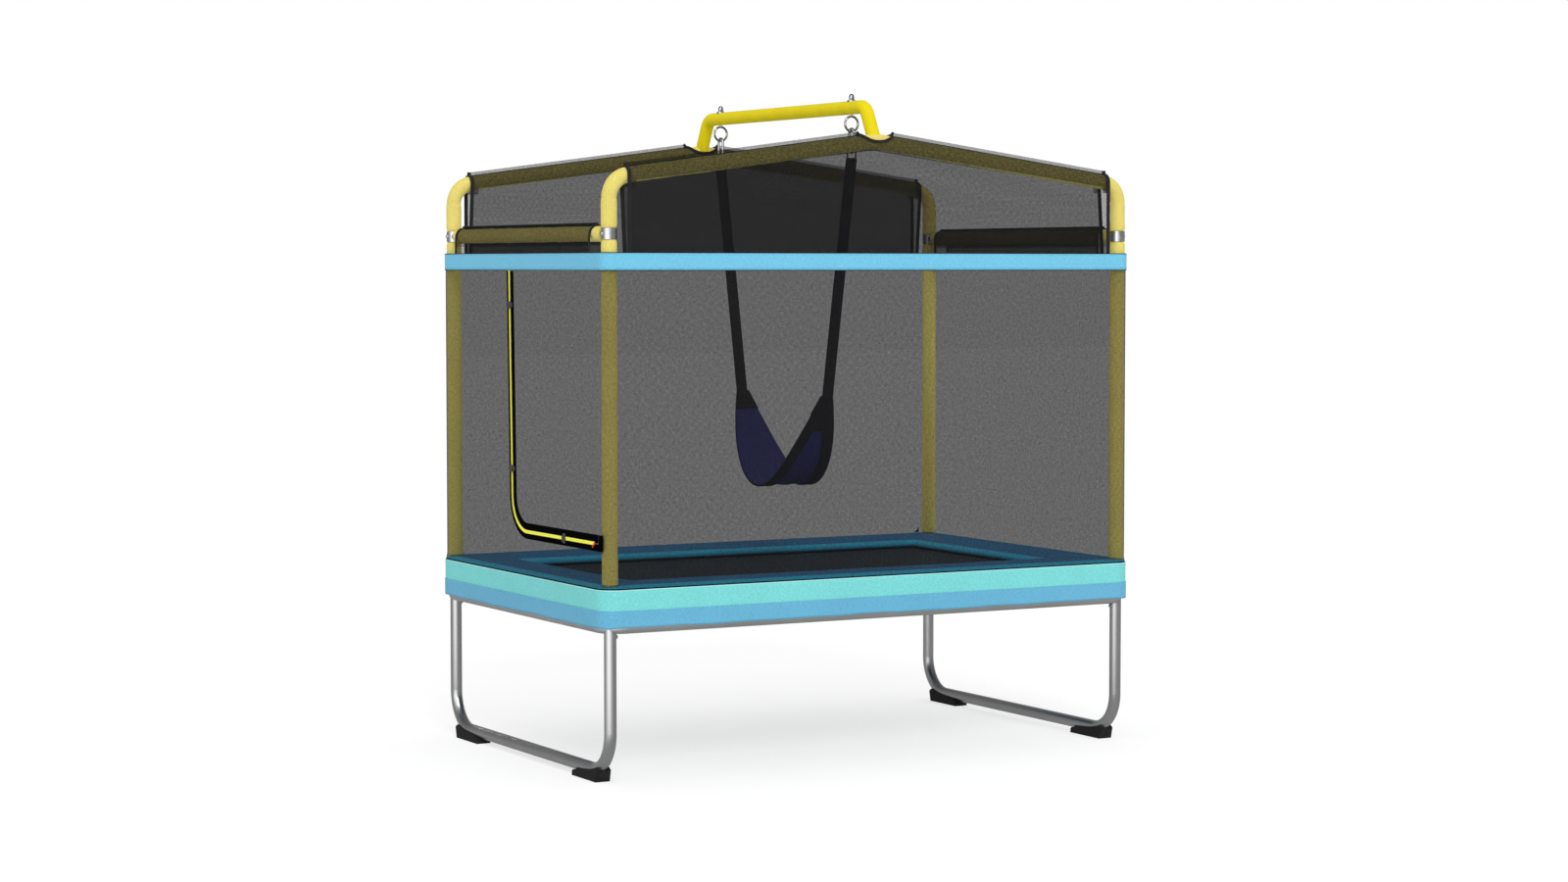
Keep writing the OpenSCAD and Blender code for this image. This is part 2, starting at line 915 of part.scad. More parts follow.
// One slope of a gable net at y = 0, cut level at its bottom and upright at its ends
module gable_net_half() {
    difference() {
        intersection() {
            translate([flap_end, 0, apex_vertex_z - flap_end * gable_drop])
                rotate([0, gable_slope, 0])
                    translate([100, 0, 0])
                        rotate([90, 0, -90])
                            linear_extrude(slope_len + 200)
                                sleeve_outline(sleeve_r, 2 * (apex_z - flap_z0));
            translate([seam, -100, flap_z0])
                cube([flap_end - seam, 200, apex_z - flap_z0 + 100]);
        }
        translate([0, 0, apex_vertex_z + (sleeve_r + net_t) / cos(gable_slope) + notch_r - notch_d])
            rotate([90, 0, 0])
                cylinder(r = notch_r, h = 200, center = true);
    }
}

module gable_net(sy) {
    color(net_grey)
        translate([0, sy * py, 0])
            mirror_x()
                gable_net_half();
}

end_net_half = py - foam_r - 48;
end_sleeve_r = end_foam_r + sleeve_gap;

module end_net(side) {
    color(net_grey)
        translate([side * px, -end_net_half, joint_z])
            rotate([90, 0, 180])
                linear_extrude(2 * end_net_half)
                    sleeve_outline(end_sleeve_r, joint_z - flap_z0);
}

// ---- swing bar and eye bolts ----

// Solid of the bent swing bar, its legs running down to the gables
module swing_bar_form(r, down) {
    translate([0, 0, bar_z])
        rotate([90, 0, 0])
            cylinder(r = r, h = 2 * bar_straight, center = true);
    mirror_y() {
        translate([0, bar_straight, bar_z - bar_bend_r])
            rotate([0, -90, 0])
                bend(bar_bend_r, r, bar_bend);
        bar_leg_line(r, down);
    }
}

module swing_bar() {
    color(bar_yellow)
        difference() {
            swing_bar_form(bar_r, -pole_r / 2);
            swing_bar_form(bar_r - tube_wall, 0);
            mirror_y()
                translate([-bar_d, py, apex_z])
                    rotate([0, 90, 0])
                        cylinder(r = pole_r + 2 * gap, h = 2 * bar_d);
            mirror_y()
                translate([0, eye_y, bar_z - 50])
                    cylinder(r = shank_r + 0.2, h = 100);
        }
}

shank_r = 4;
eye_wire = 3.5;
eye_mid_r = 22.5;
eye_z = bar_z - bar_r - 28;
nut_h = 6;

module eye_bolts() {
    color(steel)
        mirror_y()
            translate([0, eye_y, 0]) {
                translate([0, 0, eye_z])
                    rotate([90, 0, 0])
                        rotate_extrude()
                            translate([eye_mid_r, 0])
                                circle(eye_wire, $fn = 24);
                translate([0, 0, eye_z + eye_mid_r])
                    cylinder(r = shank_r, h = bar_z + bar_r + 12 - eye_z - eye_mid_r);
            }
}

// Saddle washer, hexagon and domed cap above the bar
module cap_nuts() {
    color(steel)
        mirror_y()
            translate([0, eye_y, bar_z])
                difference() {
                    union() {
                        translate([0, 0, bar_r - 4])
                            cylinder(r = 13, h = 6);
                        translate([0, 0, bar_r + 2])
                            cylinder(r = 10, h = nut_h, $fn = 6);
                        translate([0, 0, bar_r + 2 + nut_h])
                            cylinder(r = 8, h = 5);
                        translate([0, 0, bar_r + 7 + nut_h])
                            intersection() {
                                sphere(8);
                                translate([-10, -10, 0])
                                    cube(20);
                            }
                    }
                    rotate([90, 0, 0])
                        cylinder(r = bar_r + 0.1, h = 60, center = true);
                    translate([0, 0, -1])
                        cylinder(r = shank_r + 0.2, h = bar_r + 13.5);
                }
}

// ---- swing ----

hook_wire = 4;
hook_half = 14;
hook_top = eye_z - eye_mid_r + eye_wire + hook_wire + gap;
hook_long = 71.5;
hook_bottom = hook_top - hook_long;
gate_top = hook_top - 22;
gate_bottom = hook_bottom + 22;
gate_r = hook_wire - 0.6;
gate_taper = 1.6;
hinge_gap = 0.9;

// Carabiner's closed loop in the YZ plane, centred on y = 0
module hook_loop() {
    for (y = [-hook_half, hook_half])
        rod([0, y, hook_bottom + hook_half], [0, 0, 0], hook_top - hook_bottom - 2 * hook_half, hook_wire);
    translate([0, 0, hook_top - hook_half])
        rotate([0, -90, 0])
            rotate([0, 0, -90])
                bend(hook_half, hook_wire, 180);
    translate([0, 0, hook_bottom + hook_half])
        rotate([0, -90, 0])
            rotate([0, 0, 90])
                bend(hook_half, hook_wire, 180);
}

link_wire = 2.5;
link_half = 14.5;
link_top = hook_bottom + hook_wire + link_wire + gap;
link_bottom = link_top - 25;

// Rectangular link in the XZ plane that joins the carabiner to the strap
module link() {
    for (z = [link_top, link_bottom])
        rod([-link_half, 0, z], [0, 90, 0], 2 * link_half, link_wire);
    for (x = [-link_half, link_half]) {
        rod([x, 0, link_bottom], [0, 0, 0], link_top - link_bottom, link_wire);
        for (z = [link_top, link_bottom])
            translate([x, 0, z])
                sphere(link_wire);
    }
}

module carabiners() {
    color(steel)
        mirror_y()
            translate([0, eye_y, 0]) {
                difference() {
                    hook_loop();
                    translate([-10, hook_half - hook_wire - 1, gate_bottom - hinge_gap])
                        cube([20, 2 * hook_wire + 2, gate_top - gate_bottom + gap + hinge_gap]);
                }
                link();
            }
}

// Sprung gate of a carabiner, closing the gap in the loop's outer run
module gate(sy) {
    color(steel)
        translate([0, sy * (eye_y + hook_half), gate_bottom]) {
            cylinder(r1 = gate_r / 2, r2 = gate_r, h = gate_taper);
            translate([0, 0, gate_taper])
                cylinder(r = gate_r, h = gate_top - gate_bottom - gate_taper);
        }
}

// The sling hangs in a parabola between its two top edges
sling_top_z = seat_z + sling_h;
sling_top_y = 270;
strap_lean = atan((eye_y - sling_top_y) / (link_bottom - sling_top_z));
sling_t = 3;
sling_steps = 18;
sling_taper = 1.42;

// Half of the sling's line from the middle of the bottom up to its top edge
function sling_half() =
    [for (i = [0 : sling_steps])
        let (t = i / sling_steps)
        [sling_top_y * t, seat_z + sling_h * t * t]];

function sling_path() = concat(
    [for (p = backwards(sling_half())) [-p[0], p[1]]],
    [for (i = [1 : len(sling_half()) - 1]) sling_half()[i]]);

function sling_width(z) = seat_w - (seat_w - strap_w) * pow((z - seat_z) / sling_h, sling_taper);

function unit(v) = v / norm(v);

// Outward side of a line at point i
function side_of(line, i) =
    let (a = line[max(i - 1, 0)], b = line[min(i + 1, len(line) - 1)], d = unit(b - a))
    [d[1], -d[0]];

// Strip of the given thickness along a line in the YZ plane, from x0 to x1 at each point
module strip(line, x0, x1, t, lift = 0) {
    n = len(line);
    pts = [for (i = [0 : n - 1])
        let (s = side_of(line, i), a = line[i] + lift * s, b = line[i] + (lift + t) * s)
        each [[x0[i], a[0], a[1]], [x1[i], a[0], a[1]], [x1[i], b[0], b[1]], [x0[i], b[0], b[1]]]];
    faces = concat(
        [[0, 1, 2, 3]],
        [for (i = [0 : n - 2], k = [0 : 3])
            let (m = (k + 1) % 4)
            [4 * i + k, 4 * i + 4 + k, 4 * i + 4 + m, 4 * i + m]],
        [[4 * n - 1, 4 * n - 2, 4 * n - 3, 4 * n - 4]]);
    polyhedron(pts, faces, convexity = 6);
}

module seat() {
    line = sling_path();
    half = [for (p = line) sling_width(p[1]) / 2];
    color("navy")
        strip(line, -half, half, sling_t);
}

strap_t = 3;
edge_w = strap_w;
edge_lift = sling_t + 0.1;

// Webbing down both edges of the sling's outer face
module edge_webbing() {
    line = sling_path();
    half = [for (p = line) sling_width(p[1]) / 2];
    mirror_x()
        strip(line, [for (w = half) max(w - edge_w, gap)], half, strap_t, edge_lift);
}

// Straight run of webbing from the link to the top of the sling
module strap_run() {
    run = norm([eye_y - sling_top_y, link_bottom - sling_top_z]);
    translate([0, sling_top_y, sling_top_z])
        rotate([-strap_lean, 0, 0])
            translate([-strap_w / 2, edge_lift, gap])
                cube([strap_w, strap_t, run - link_wire - strap_t - gap]);
}

// Width of the loop that passes round the link
loop_w = 2 * (link_half - link_wire - gap);

module straps() {
    color("black") {
        mirror_y() {
            translate([0, eye_y, link_bottom])
                rotate([0, 90, 0])
                    difference() {
                        cylinder(r = link_wire + gap + strap_t, h = loop_w, center = true);
                        cylinder(r = link_wire + gap, h = 60, center = true);
                    }
            strap_run();
        }
        edge_webbing();
    }
}

feet();
leg(-1);  // leg_left
leg(1);  // leg_right
end_frame(-1);  // end_frame_left
end_frame(1);  // end_frame_right
side_rails();
spring_rails();
rotate([0, 0, -90]) springs(px, spring_count_long, py - rail_r);  // springs_front
rotate([0, 0, 90]) springs(px, spring_count_long, py - rail_r);  // springs_back
rotate([0, 0, 180]) springs(py, spring_count_short, px - rail_r);  // springs_left
springs(py, spring_count_short, px - rail_r);  // springs_right
mat();
mat_loops();
mat_rings();
pad();
skirt_upper();
skirt_lower();
pole(-1, -1);  // pole_front_left
pole(1, -1);  // pole_front_right
pole(-1, 1);  // pole_back_left
pole(1, 1);  // pole_back_right
pole_foam(-1, -1);  // foam_front_left
pole_foam(1, -1);  // foam_front_right
pole_foam(-1, 1);  // foam_back_left
pole_foam(1, 1);  // foam_back_right
pole_joints();
gable(-1);  // gable_front
gable(1);  // gable_back
gable_foam(-1);  // gable_foam_front
gable_foam(1);  // gable_foam_back
end_rail(-1);  // end_rail_left
end_rail(1);  // end_rail_right
end_foam(-1);  // end_foam_left
end_foam(1);  // end_foam_right
net_long(-1);  // net_front
net_long(1);  // net_back
net_right();
net_left();
net_hem();
band();
gable_net(-1);  // gable_net_front
gable_net(1);  // gable_net_back
end_net(-1);  // end_net_left
end_net(1);  // end_net_right
zip_tape_wall();
zip_teeth_wall();
door_net();
zip_tape_door();
zip_teeth_door();
door_clips();
zip_slider();
zip_pull();
swing_bar();
eye_bolts();
cap_nuts();
carabiners();
gate(-1);  // gate_front
gate(1);  // gate_back
straps();
seat();
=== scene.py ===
import math

import bmesh
import bpy
import numpy as np
from mathutils import Matrix, Vector
from mathutils.geometry import delaunay_2d_cdt


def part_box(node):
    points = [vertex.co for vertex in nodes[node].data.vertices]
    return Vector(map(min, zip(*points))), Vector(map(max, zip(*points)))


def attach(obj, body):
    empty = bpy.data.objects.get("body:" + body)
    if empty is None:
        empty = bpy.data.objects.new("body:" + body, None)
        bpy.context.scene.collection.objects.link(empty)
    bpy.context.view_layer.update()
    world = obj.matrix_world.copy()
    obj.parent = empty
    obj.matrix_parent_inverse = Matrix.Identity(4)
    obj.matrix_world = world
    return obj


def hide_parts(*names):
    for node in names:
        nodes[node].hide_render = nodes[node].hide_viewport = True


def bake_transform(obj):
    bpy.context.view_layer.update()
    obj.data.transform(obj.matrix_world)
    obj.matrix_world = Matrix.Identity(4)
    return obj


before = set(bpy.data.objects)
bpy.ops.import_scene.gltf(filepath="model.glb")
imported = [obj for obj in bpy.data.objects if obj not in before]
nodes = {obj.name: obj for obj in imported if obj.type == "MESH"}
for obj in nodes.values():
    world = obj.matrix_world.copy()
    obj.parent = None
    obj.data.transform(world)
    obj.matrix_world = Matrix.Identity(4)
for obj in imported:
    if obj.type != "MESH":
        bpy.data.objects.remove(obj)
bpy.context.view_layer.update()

# ---- camera ----
# A long lens from the front left, a little below the top band and looking slightly down, so that
# the frame's uprights stay nearly parallel.
camera = bpy.data.objects.new("camera", bpy.data.cameras.new("camera"))
camera.data.sensor_width = 36
camera.data.lens = 73.2
camera.data.clip_end = 200
camera.location = (-4.872, -8.75, 1.4885)
camera.rotation_euler = (math.radians(86.861), 0, math.radians(-29.114))
bpy.context.scene.collection.objects.link(camera)
bpy.context.scene.camera = camera


# ---- legs ----
# Two U-shaped legs of galvanised steel tube. Their upper ends push over the spigots below the
# frame ring, and each is held by one screw on its inner side.
def finish_of(name, colour, roughness, metallic=0.0, gloss=None):
    """A new material with its node tree and its shader."""
    material = bpy.data.materials.new(name)
    material.use_nodes = True
    shader = material.node_tree.nodes["Principled BSDF"]
    shader.inputs["Base Color"].default_value = (*colour, 1)
    shader.inputs["Roughness"].default_value = roughness
    shader.inputs["Metallic"].default_value = metallic
    if gloss is not None:
        shader.inputs["Specular IOR Level"].default_value = gloss
    return material, material.node_tree, shader


def put(tree, kind, inputs, **settings):
    """A node with its settings made and its inputs set or linked."""
    node = tree.nodes.new(kind)
    for key, value in settings.items():
        setattr(node, key, value)
    for key, value in inputs.items():
        if isinstance(value, bpy.types.NodeSocket):
            tree.links.new(value, node.inputs[key])
        else:
            node.inputs[key].default_value = value
    return node


def reckon(tree, operation, *values):
    """The output of a Math node."""
    return put(tree, "ShaderNodeMath", dict(enumerate(values)), operation=operation).outputs[0]


def bumped(tree, shader, height, depth, strength):
    """Raises the surface by a height, without moving its mesh."""
    bump = put(tree, "ShaderNodeBump", {"Height": height, "Distance": depth, "Strength": strength})
    tree.links.new(bump.outputs["Normal"], shader.inputs["Normal"])


def two_toned(tree, shader, value, low, dark, light):
    """Colours the shader from dark to light over the middle of a value's range."""
    ramp = put(tree, "ShaderNodeValToRGB", {"Fac": value})
    first, last = ramp.color_ramp.elements
    first.position, last.position = low, 1 - low
    first.color, last.color = (*dark, 1), (*light, 1)
    tree.links.new(ramp.outputs["Color"], shader.inputs["Base Color"])


def hard_finish(name, colour, roughness, scale, rough, tones, metallic=0.0, detail=4, gloss=None, grain=None):
    """Metal, paint, plastic or thread, uneven in colour and roughness from one noise of the given scale.
    A grain is the scale, depth and strength of a fine bump."""
    material, tree, shader = finish_of(name, colour, roughness, metallic, gloss)
    place = put(tree, "ShaderNodeTexCoord", {}).outputs["Object"]
    cloud = put(tree, "ShaderNodeTexNoise", {"Vector": place, "Scale": scale, "Detail": detail}).outputs["Fac"]
    uneven = put(tree, "ShaderNodeMapRange", {0: cloud, 1: 0.35, 2: 0.65, 3: rough[0], 4: rough[1]}).outputs[0]
    tree.links.new(uneven, shader.inputs["Roughness"])
    two_toned(tree, shader, cloud, 0.35, *tones)
    if grain:
        fine = put(tree, "ShaderNodeTexNoise", {"Vector": place, "Scale": grain[0], "Detail": 2}).outputs["Fac"]
        bumped(tree, shader, fine, *grain[1:])
    return material


STEEL_GRAIN = (900, 0.00002, 0.2)
galvanised = hard_finish("galvanised_tube", (0.6, 0.6, 0.61), 0.3, 9, (0.27, 0.31),
                         ((0.62, 0.62, 0.625), (0.67, 0.67, 0.675)), 1.0, detail=2, grain=STEEL_GRAIN)


def refinish(material, *names):
    """Gives the CAD nodes a new material."""
    for name in names:
        nodes[name].data.materials.clear()
        nodes[name].data.materials.append(material)


refinish(galvanised, "leg_left", "leg_right")


def piece_of(name, points, faces, *materials, smooth=True):
    """An object at the origin with its place in its mesh."""
    mesh = bpy.data.meshes.new(name)
    mesh.from_pydata([tuple(p) for p in points], [], faces, shade_flat=not smooth)
    for material in materials:
        mesh.materials.append(material)
    piece = bpy.data.objects.new(name, mesh)
    bpy.context.scene.collection.objects.link(piece)
    return piece


def lengths_along(points):
    """Distance of each point from the first, along the line."""
    return np.concatenate([[0], np.cumsum(np.linalg.norm(np.diff(points, axis=0), axis=1))])


def lofted(name, rows, *materials, closed_rows=False, closed_columns=False, capped=False):
    """A surface through rows of points, with a UV map in metres along and across it."""
    rows = np.asarray(rows, float)
    count, across = rows.shape[:2]
    step_i = count if closed_rows else count - 1
    step_j = across if closed_columns else across - 1
    faces, corners = [], []
    for i in range(step_i):
        for j in range(step_j):
            square = ((i, j), (i, j + 1), (i + 1, j + 1), (i + 1, j))
            faces.append([(a % count) * across + b % across for a, b in square])
            corners.extend(square)
    caps = []
    if capped:
        caps = [list(range(across))[::-1], [(count - 1) * across + j for j in range(across)]]
    piece = piece_of(name, rows.reshape(-1, 3), faces + caps, *materials)
    round_rows = np.concatenate([rows, rows[:1]]) if closed_rows else rows
    around = np.concatenate([rows, rows[:, :1]], axis=1) if closed_columns else rows
    along = np.cumsum(np.linalg.norm(np.diff(round_rows, axis=0, prepend=rows[:1]), axis=2), axis=0)
    over = np.cumsum(np.linalg.norm(np.diff(around, axis=1, prepend=rows[:, :1]), axis=2), axis=1)
    places = [(along[a, b % across], over[a % count, b]) for a, b in corners]
    places = np.array(places + [(0, 0)] * sum(map(len, caps)))
    layer = piece.data.uv_layers.new(name="UVMap")
    layer.data.foreach_set("uv", places.astype(np.float32).ravel())
    return piece


def outward(piece):
    """Merges doubles on a closed piece and turns its faces outwards."""
    work = bmesh.new()
    work.from_mesh(piece.data)
    bmesh.ops.remove_doubles(work, verts=work.verts, dist=1e-6)
    bmesh.ops.recalc_face_normals(work, faces=work.faces)
    work.to_mesh(piece.data)
    work.free()
    return piece


def frames_along(path, closed=False):
    """Unit tangents and one steady pair of side vectors along a path."""
    path = np.asarray(path, float)
    if closed:
        tangents = np.roll(path, -1, 0) - np.roll(path, 1, 0)
    else:
        tangents = np.gradient(path, axis=0)
    tangents /= np.linalg.norm(tangents, axis=1)[:, None]
    start = np.array([0, 0, 1.0]) if abs(tangents[0][2]) < 0.9 else np.array([1.0, 0, 0])
    sides = []
    for tangent in tangents:
        start = start - tangent * (start @ tangent)
        start = start / np.linalg.norm(start)
        sides.append(start)
    sides = np.array(sides)
    return tangents, sides, np.cross(tangents, sides)


def rounded_bar(name, rows, material, closed=False):
    """A closed surface through rows of points, capped at both ends or joined into a ring."""
    return outward(lofted(name, rows, material, closed_rows=closed, closed_columns=True, capped=not closed))


def wire(name, path, radius, sides, material, closed=False):
    """A round wire or tube along a path."""
    _, up, out = frames_along(path, closed)
    turns = np.arange(sides) * 2 * math.pi / sides
    radii = np.broadcast_to(np.asarray(radius, float).reshape(-1, 1, 1), (len(path), 1, 1))
    ring = np.cos(turns)[None, :, None] * up[:, None] + np.sin(turns)[None, :, None] * out[:, None]
    return rounded_bar(name, np.asarray(path)[:, None] + radii * ring, material, closed)


def repeated(name, places, turns, part, material, size=1.0):
    """Copies of a small part on a row of places, made by Geometry Nodes and kept as one plain mesh."""
    base = piece_of(name + "_places", places, [])
    turn = base.data.attributes.new("turn", "FLOAT_VECTOR", "POINT")
    turn.data.foreach_set("vector", np.asarray(turns, np.float32).ravel())
    group = bpy.data.node_groups.new(name + "_row", "GeometryNodeTree")
    face = group.interface
    face.new_socket("Geometry", in_out="INPUT", socket_type="NodeSocketGeometry")
    part_in = face.new_socket("Part", in_out="INPUT", socket_type="NodeSocketObject")
    size_in = face.new_socket("Size", in_out="INPUT", socket_type="NodeSocketFloat")
    finish_in = face.new_socket("Finish", in_out="INPUT", socket_type="NodeSocketMaterial")
    face.new_socket("Geometry", in_out="OUTPUT", socket_type="NodeSocketGeometry")
    given = put(group, "NodeGroupInput", {})
    source = put(group, "GeometryNodeObjectInfo", {"Object": given.outputs["Part"]})
    facing = put(group, "GeometryNodeInputNamedAttribute", {"Name": "turn"}, data_type="FLOAT_VECTOR")
    turned = put(group, "FunctionNodeEulerToRotation", {0: facing.outputs["Attribute"]})
    copies = put(group, "GeometryNodeInstanceOnPoints", {
        "Points": given.outputs["Geometry"],
        "Instance": source.outputs["Geometry"],
        "Rotation": turned.outputs[0],
        "Scale": given.outputs["Size"],
    })
    solid = put(group, "GeometryNodeRealizeInstances", {"Geometry": copies.outputs[0]})
    painted = put(group, "GeometryNodeSetMaterial", {
        "Geometry": solid.outputs[0],
        "Material": given.outputs["Finish"],
    })
    put(group, "NodeGroupOutput", {"Geometry": painted.outputs[0]})
    row = base.modifiers.new("row", "NODES")
    row.node_group = group
    row[part_in.identifier] = part
    row[size_in.identifier] = size
    row[finish_in.identifier] = material
    view = bpy.context.evaluated_depsgraph_get()
    mesh = bpy.data.meshes.new_from_object(base.evaluated_get(view))
    mesh.name = name
    result = bpy.data.objects.new(name, mesh)
    bpy.context.scene.collection.objects.link(result)
    bpy.data.objects.remove(base)
    bpy.data.objects.remove(part)
    bpy.data.node_groups.remove(group)
    return result


def joined(name, pieces):
    """Several meshes of one material list made into one piece."""
    keep = pieces[0]
    with bpy.context.temp_override(active_object=keep, selected_editable_objects=pieces):
        bpy.ops.object.join()
    keep.name = keep.data.name = name
    return keep


# Radius and height of each level of the screw.
WASHER = ((0.0074, 0), (0.0074, 0.0010), (0.0068, 0.0013))
HEAD = ((0.0056, 0.0012), (0.0056, 0.0044), (0.0047, 0.0050))


def hex_screw(material):
    """A hexagon head with a bevelled top on a round washer, standing on Z = 0."""
    parts = []
    for sides, levels in ((24, WASHER), (6, HEAD)):
        turns = np.arange(sides) * 2 * math.pi / sides
        rows = [[(r * math.cos(a), r * math.sin(a), z) for a in turns] for r, z in levels]
        parts.append(rounded_bar("head", rows, material))
    return joined("screw", parts)


def settle(piece, body, slot, stands_for=None, fill=None, **cloth):
    """Hides the CAD node that a piece stands for and hangs the piece on its body; its slot, stuffing and flat cloth
    are not used.
    """
    if stands_for:
        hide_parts(stands_for)
    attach(piece, body)


POLE_X, POLE_Y = 0.880, 0.557
LEG_R, SCREW_DROP = 0.018, 0.024
LEG_TOP, LEG_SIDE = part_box("leg_left")[1][2] - SCREW_DROP, POLE_X - LEG_R
places = [(x, y, LEG_TOP) for x in (-LEG_SIDE, LEG_SIDE) for y in (-POLE_Y, POLE_Y)]
turns = [(0, math.copysign(math.pi / 2, -x), 0) for x, _, _ in places]
leg_screws = repeated("leg_screws", places, turns, hex_screw(galvanised), galvanised)
settle(leg_screws, "root", "galvanised_steel")

# ---- feet ----
# Moulded rubber shoes that grip the bends under the four corners of the legs and keep the steel off
# the ground. Each is pushed on from below and stays by its own grip.
rubber = hard_finish("foot_rubber", (0.012, 0.012, 0.013), 0.6, 60, (0.5, 0.68),
                     ((0.010, 0.010, 0.011), (0.018, 0.018, 0.019)), gloss=0.25, grain=(900, 0.0004, 0.5))
refinish(rubber, "feet")

# ---- frame ring and spring rails ----
# The ring's end frames and long tubes are galvanised tube of the legs' size, plugged together, and
# the thinner spring rails with their punched tabs are welded above them.
ring_zinc = hard_finish("ring_zinc", (0.76, 0.755, 0.745), 0.34, 9, (0.31, 0.35),
                        ((0.74, 0.735, 0.725), (0.80, 0.795, 0.785)), 1.0, detail=2, grain=STEEL_GRAIN)
refinish(ring_zinc, "end_frame_left", "end_frame_right", "side_rails")
refinish(galvanised, "spring_rails")

# ---- springs ----
# Close-wound extension springs of zinc-plated wire. One end hooks into a tab of the rail and the
# other into a ring of the mat, so each spring stretches as the mat goes down.
zinc = hard_finish("zinc_plated_wire", (0.7, 0.7, 0.72), 0.25, 90, (0.18, 0.32),
                   ((0.62, 0.62, 0.63), (0.78, 0.78, 0.8)), 1.0)
RAIL_X, RAIL_Y, DECK_Z = 0.8675, 0.5445, 0.540
MAT_X, MAT_Y = 0.7655, 0.4425
LOOP_R, COIL_R, WIRE_R = 0.0055, 0.0058, 0.0012
TAB_HOOK, COIL_START, COIL_RUN, RING_HOOK, SPRING_REACH = -0.0105, -0.016, 0.0541, -0.0756, 0.0757
COIL_TURNS, TURN_STEPS = 21, 10
LONG_COUNT, SHORT_COUNT, RAIL_END = 12, 7, 0.15


def hook(middle, low, high):
    """The open end loop of a spring round its middle, between two angles."""
    turns = np.radians(np.arange(low, high, 30))
    return [(middle + LOOP_R * math.cos(a), 0, LOOP_R * math.sin(a)) for a in turns]


def spring_path():
    """Centreline of one spring along -X, from its hook in the tab to its hook on the mat's ring."""
    coil = []
    for i in range(1, COIL_TURNS * TURN_STEPS):
        part = i / (COIL_TURNS * TURN_STEPS)
        radius = COIL_R * min(1, 8 * part * COIL_TURNS / 4, 8 * (1 - part) * COIL_TURNS / 4)
        angle = 2 * math.pi * i / TURN_STEPS
        coil.append((COIL_START - COIL_RUN * part, radius * math.sin(angle), radius * math.cos(angle)))
    return hook(TAB_HOOK, -150, 181) + coil + hook(RING_HOOK, 0, 331)


def along_rail(half, count):
    """Even places along a rail, clear of the ring's corners."""
    return [-half + RAIL_END + i * 2 * (half - RAIL_END) / (count - 1) for i in range(count)]


# Turn, places of the hooks and middle of each side's row.
SPRING_SIDES = {
    "right": (0, [(RAIL_X, y, DECK_Z) for y in along_rail(POLE_Y, SHORT_COUNT)], (RAIL_X, 0, DECK_Z)),
    "back": (90, [(-x, RAIL_Y, DECK_Z) for x in along_rail(POLE_X, LONG_COUNT)], (0, RAIL_Y, DECK_Z)),
    "left": (180, [(-RAIL_X, -y, DECK_Z) for y in along_rail(POLE_Y, SHORT_COUNT)], (-RAIL_X, 0, DECK_Z)),
    "front": (270, [(x, -RAIL_Y, DECK_Z) for x in along_rail(POLE_X, LONG_COUNT)], (0, -RAIL_Y, DECK_Z)),
}
for side, (turn, places, face) in SPRING_SIDES.items():
    one = wire("spring", spring_path(), WIRE_R, 5, zinc)
    row = repeated("wound_springs_" + side, places, [(0, 0, math.radians(turn))] * len(places), one, zinc)
    inner = Vector(face) * (1 - SPRING_REACH / Vector((face[0], face[1], 0)).length)
    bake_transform(row)
    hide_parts("springs_" + side)

# ---- jumping mat ----
# One sheet of black woven polypropylene, hemmed with a doubled webbing border. It is stretched
# almost flat by the springs and dips by a few millimetres in the middle.
def streaks(tree, place, fine=340, long=100):
    """Two crossed noises drawn out along the threads, as uneven yarn shows; their mean is a half."""
    total = 0.0
    for stretch in ((long, fine, 1), (fine, long, 1)):
        spot = put(tree, "ShaderNodeVectorMath", {0: place, 1: stretch}, operation="MULTIPLY").outputs["Vector"]
        cloud = put(tree, "ShaderNodeTexNoise", {"Vector": spot, "Scale": 1, "Detail": 1}).outputs["Fac"]
        total = reckon(tree, "MULTIPLY_ADD", cloud, 0.5, total)
    return total


def threads(tree, across, along, pitch):
    """Height of warp and weft threads that cross at the given pitch."""
    warp, weft = (reckon(tree, "SINE", reckon(tree, "MULTIPLY", way, 2 * math.pi / pitch)) for way in (across, along))
    return reckon(tree, "MULTIPLY", warp, weft)


def cloth_finish(name, colour, roughness, pitch, lift, sheen=0.04, spread=0.12, gloss=0.2, slub=0.5):
    """Woven fabric: threads of the given pitch on the piece's UV map, uneven yarn, soft unevenness."""
    material, tree, shader = finish_of(name, colour, roughness, gloss=gloss)
    shader.inputs["Sheen Weight"].default_value = sheen
    shader.inputs["Sheen Roughness"].default_value = 0.5
    place = put(tree, "ShaderNodeUVMap", {}, uv_map="UVMap").outputs["UV"]
    split = put(tree, "ShaderNodeSeparateXYZ", {0: place})
    weave = threads(tree, split.outputs["X"], split.outputs["Y"], pitch)
    bumped(tree, shader, weave, lift, 0.7)
    spot = put(tree, "ShaderNodeTexCoord", {}).outputs["Object"]
    cloud = put(tree, "ShaderNodeTexNoise", {"Vector": spot, "Scale": 9, "Detail": 5}).outputs["Fac"]
    cloud = reckon(tree, "MULTIPLY", cloud, 1 - slub)
    mixed = reckon(tree, "MULTIPLY_ADD", streaks(tree, place), slub, reckon(tree, "MULTIPLY_ADD", weave, 0.1, cloud))
    dark, light = [c * (1 - spread) for c in colour], [min(1, c * (1 + spread)) for c in colour]
    two_toned(tree, shader, mixed, 0.3, dark, light)
    return material


mat_cloth = cloth_finish("mat_weave", (0.024, 0.040, 0.060), 0.55, 0.0016, 0.0002)
black_webbing = cloth_finish("black_webbing", (0.018, 0.018, 0.02), 0.75, 0.0012, 0.0003)

MAT_DIP, MAT_THICK, HEM_W, HEM_THICK, SEAM_IN = 0.004, 0.0016, 0.045, 0.0038, 0.004


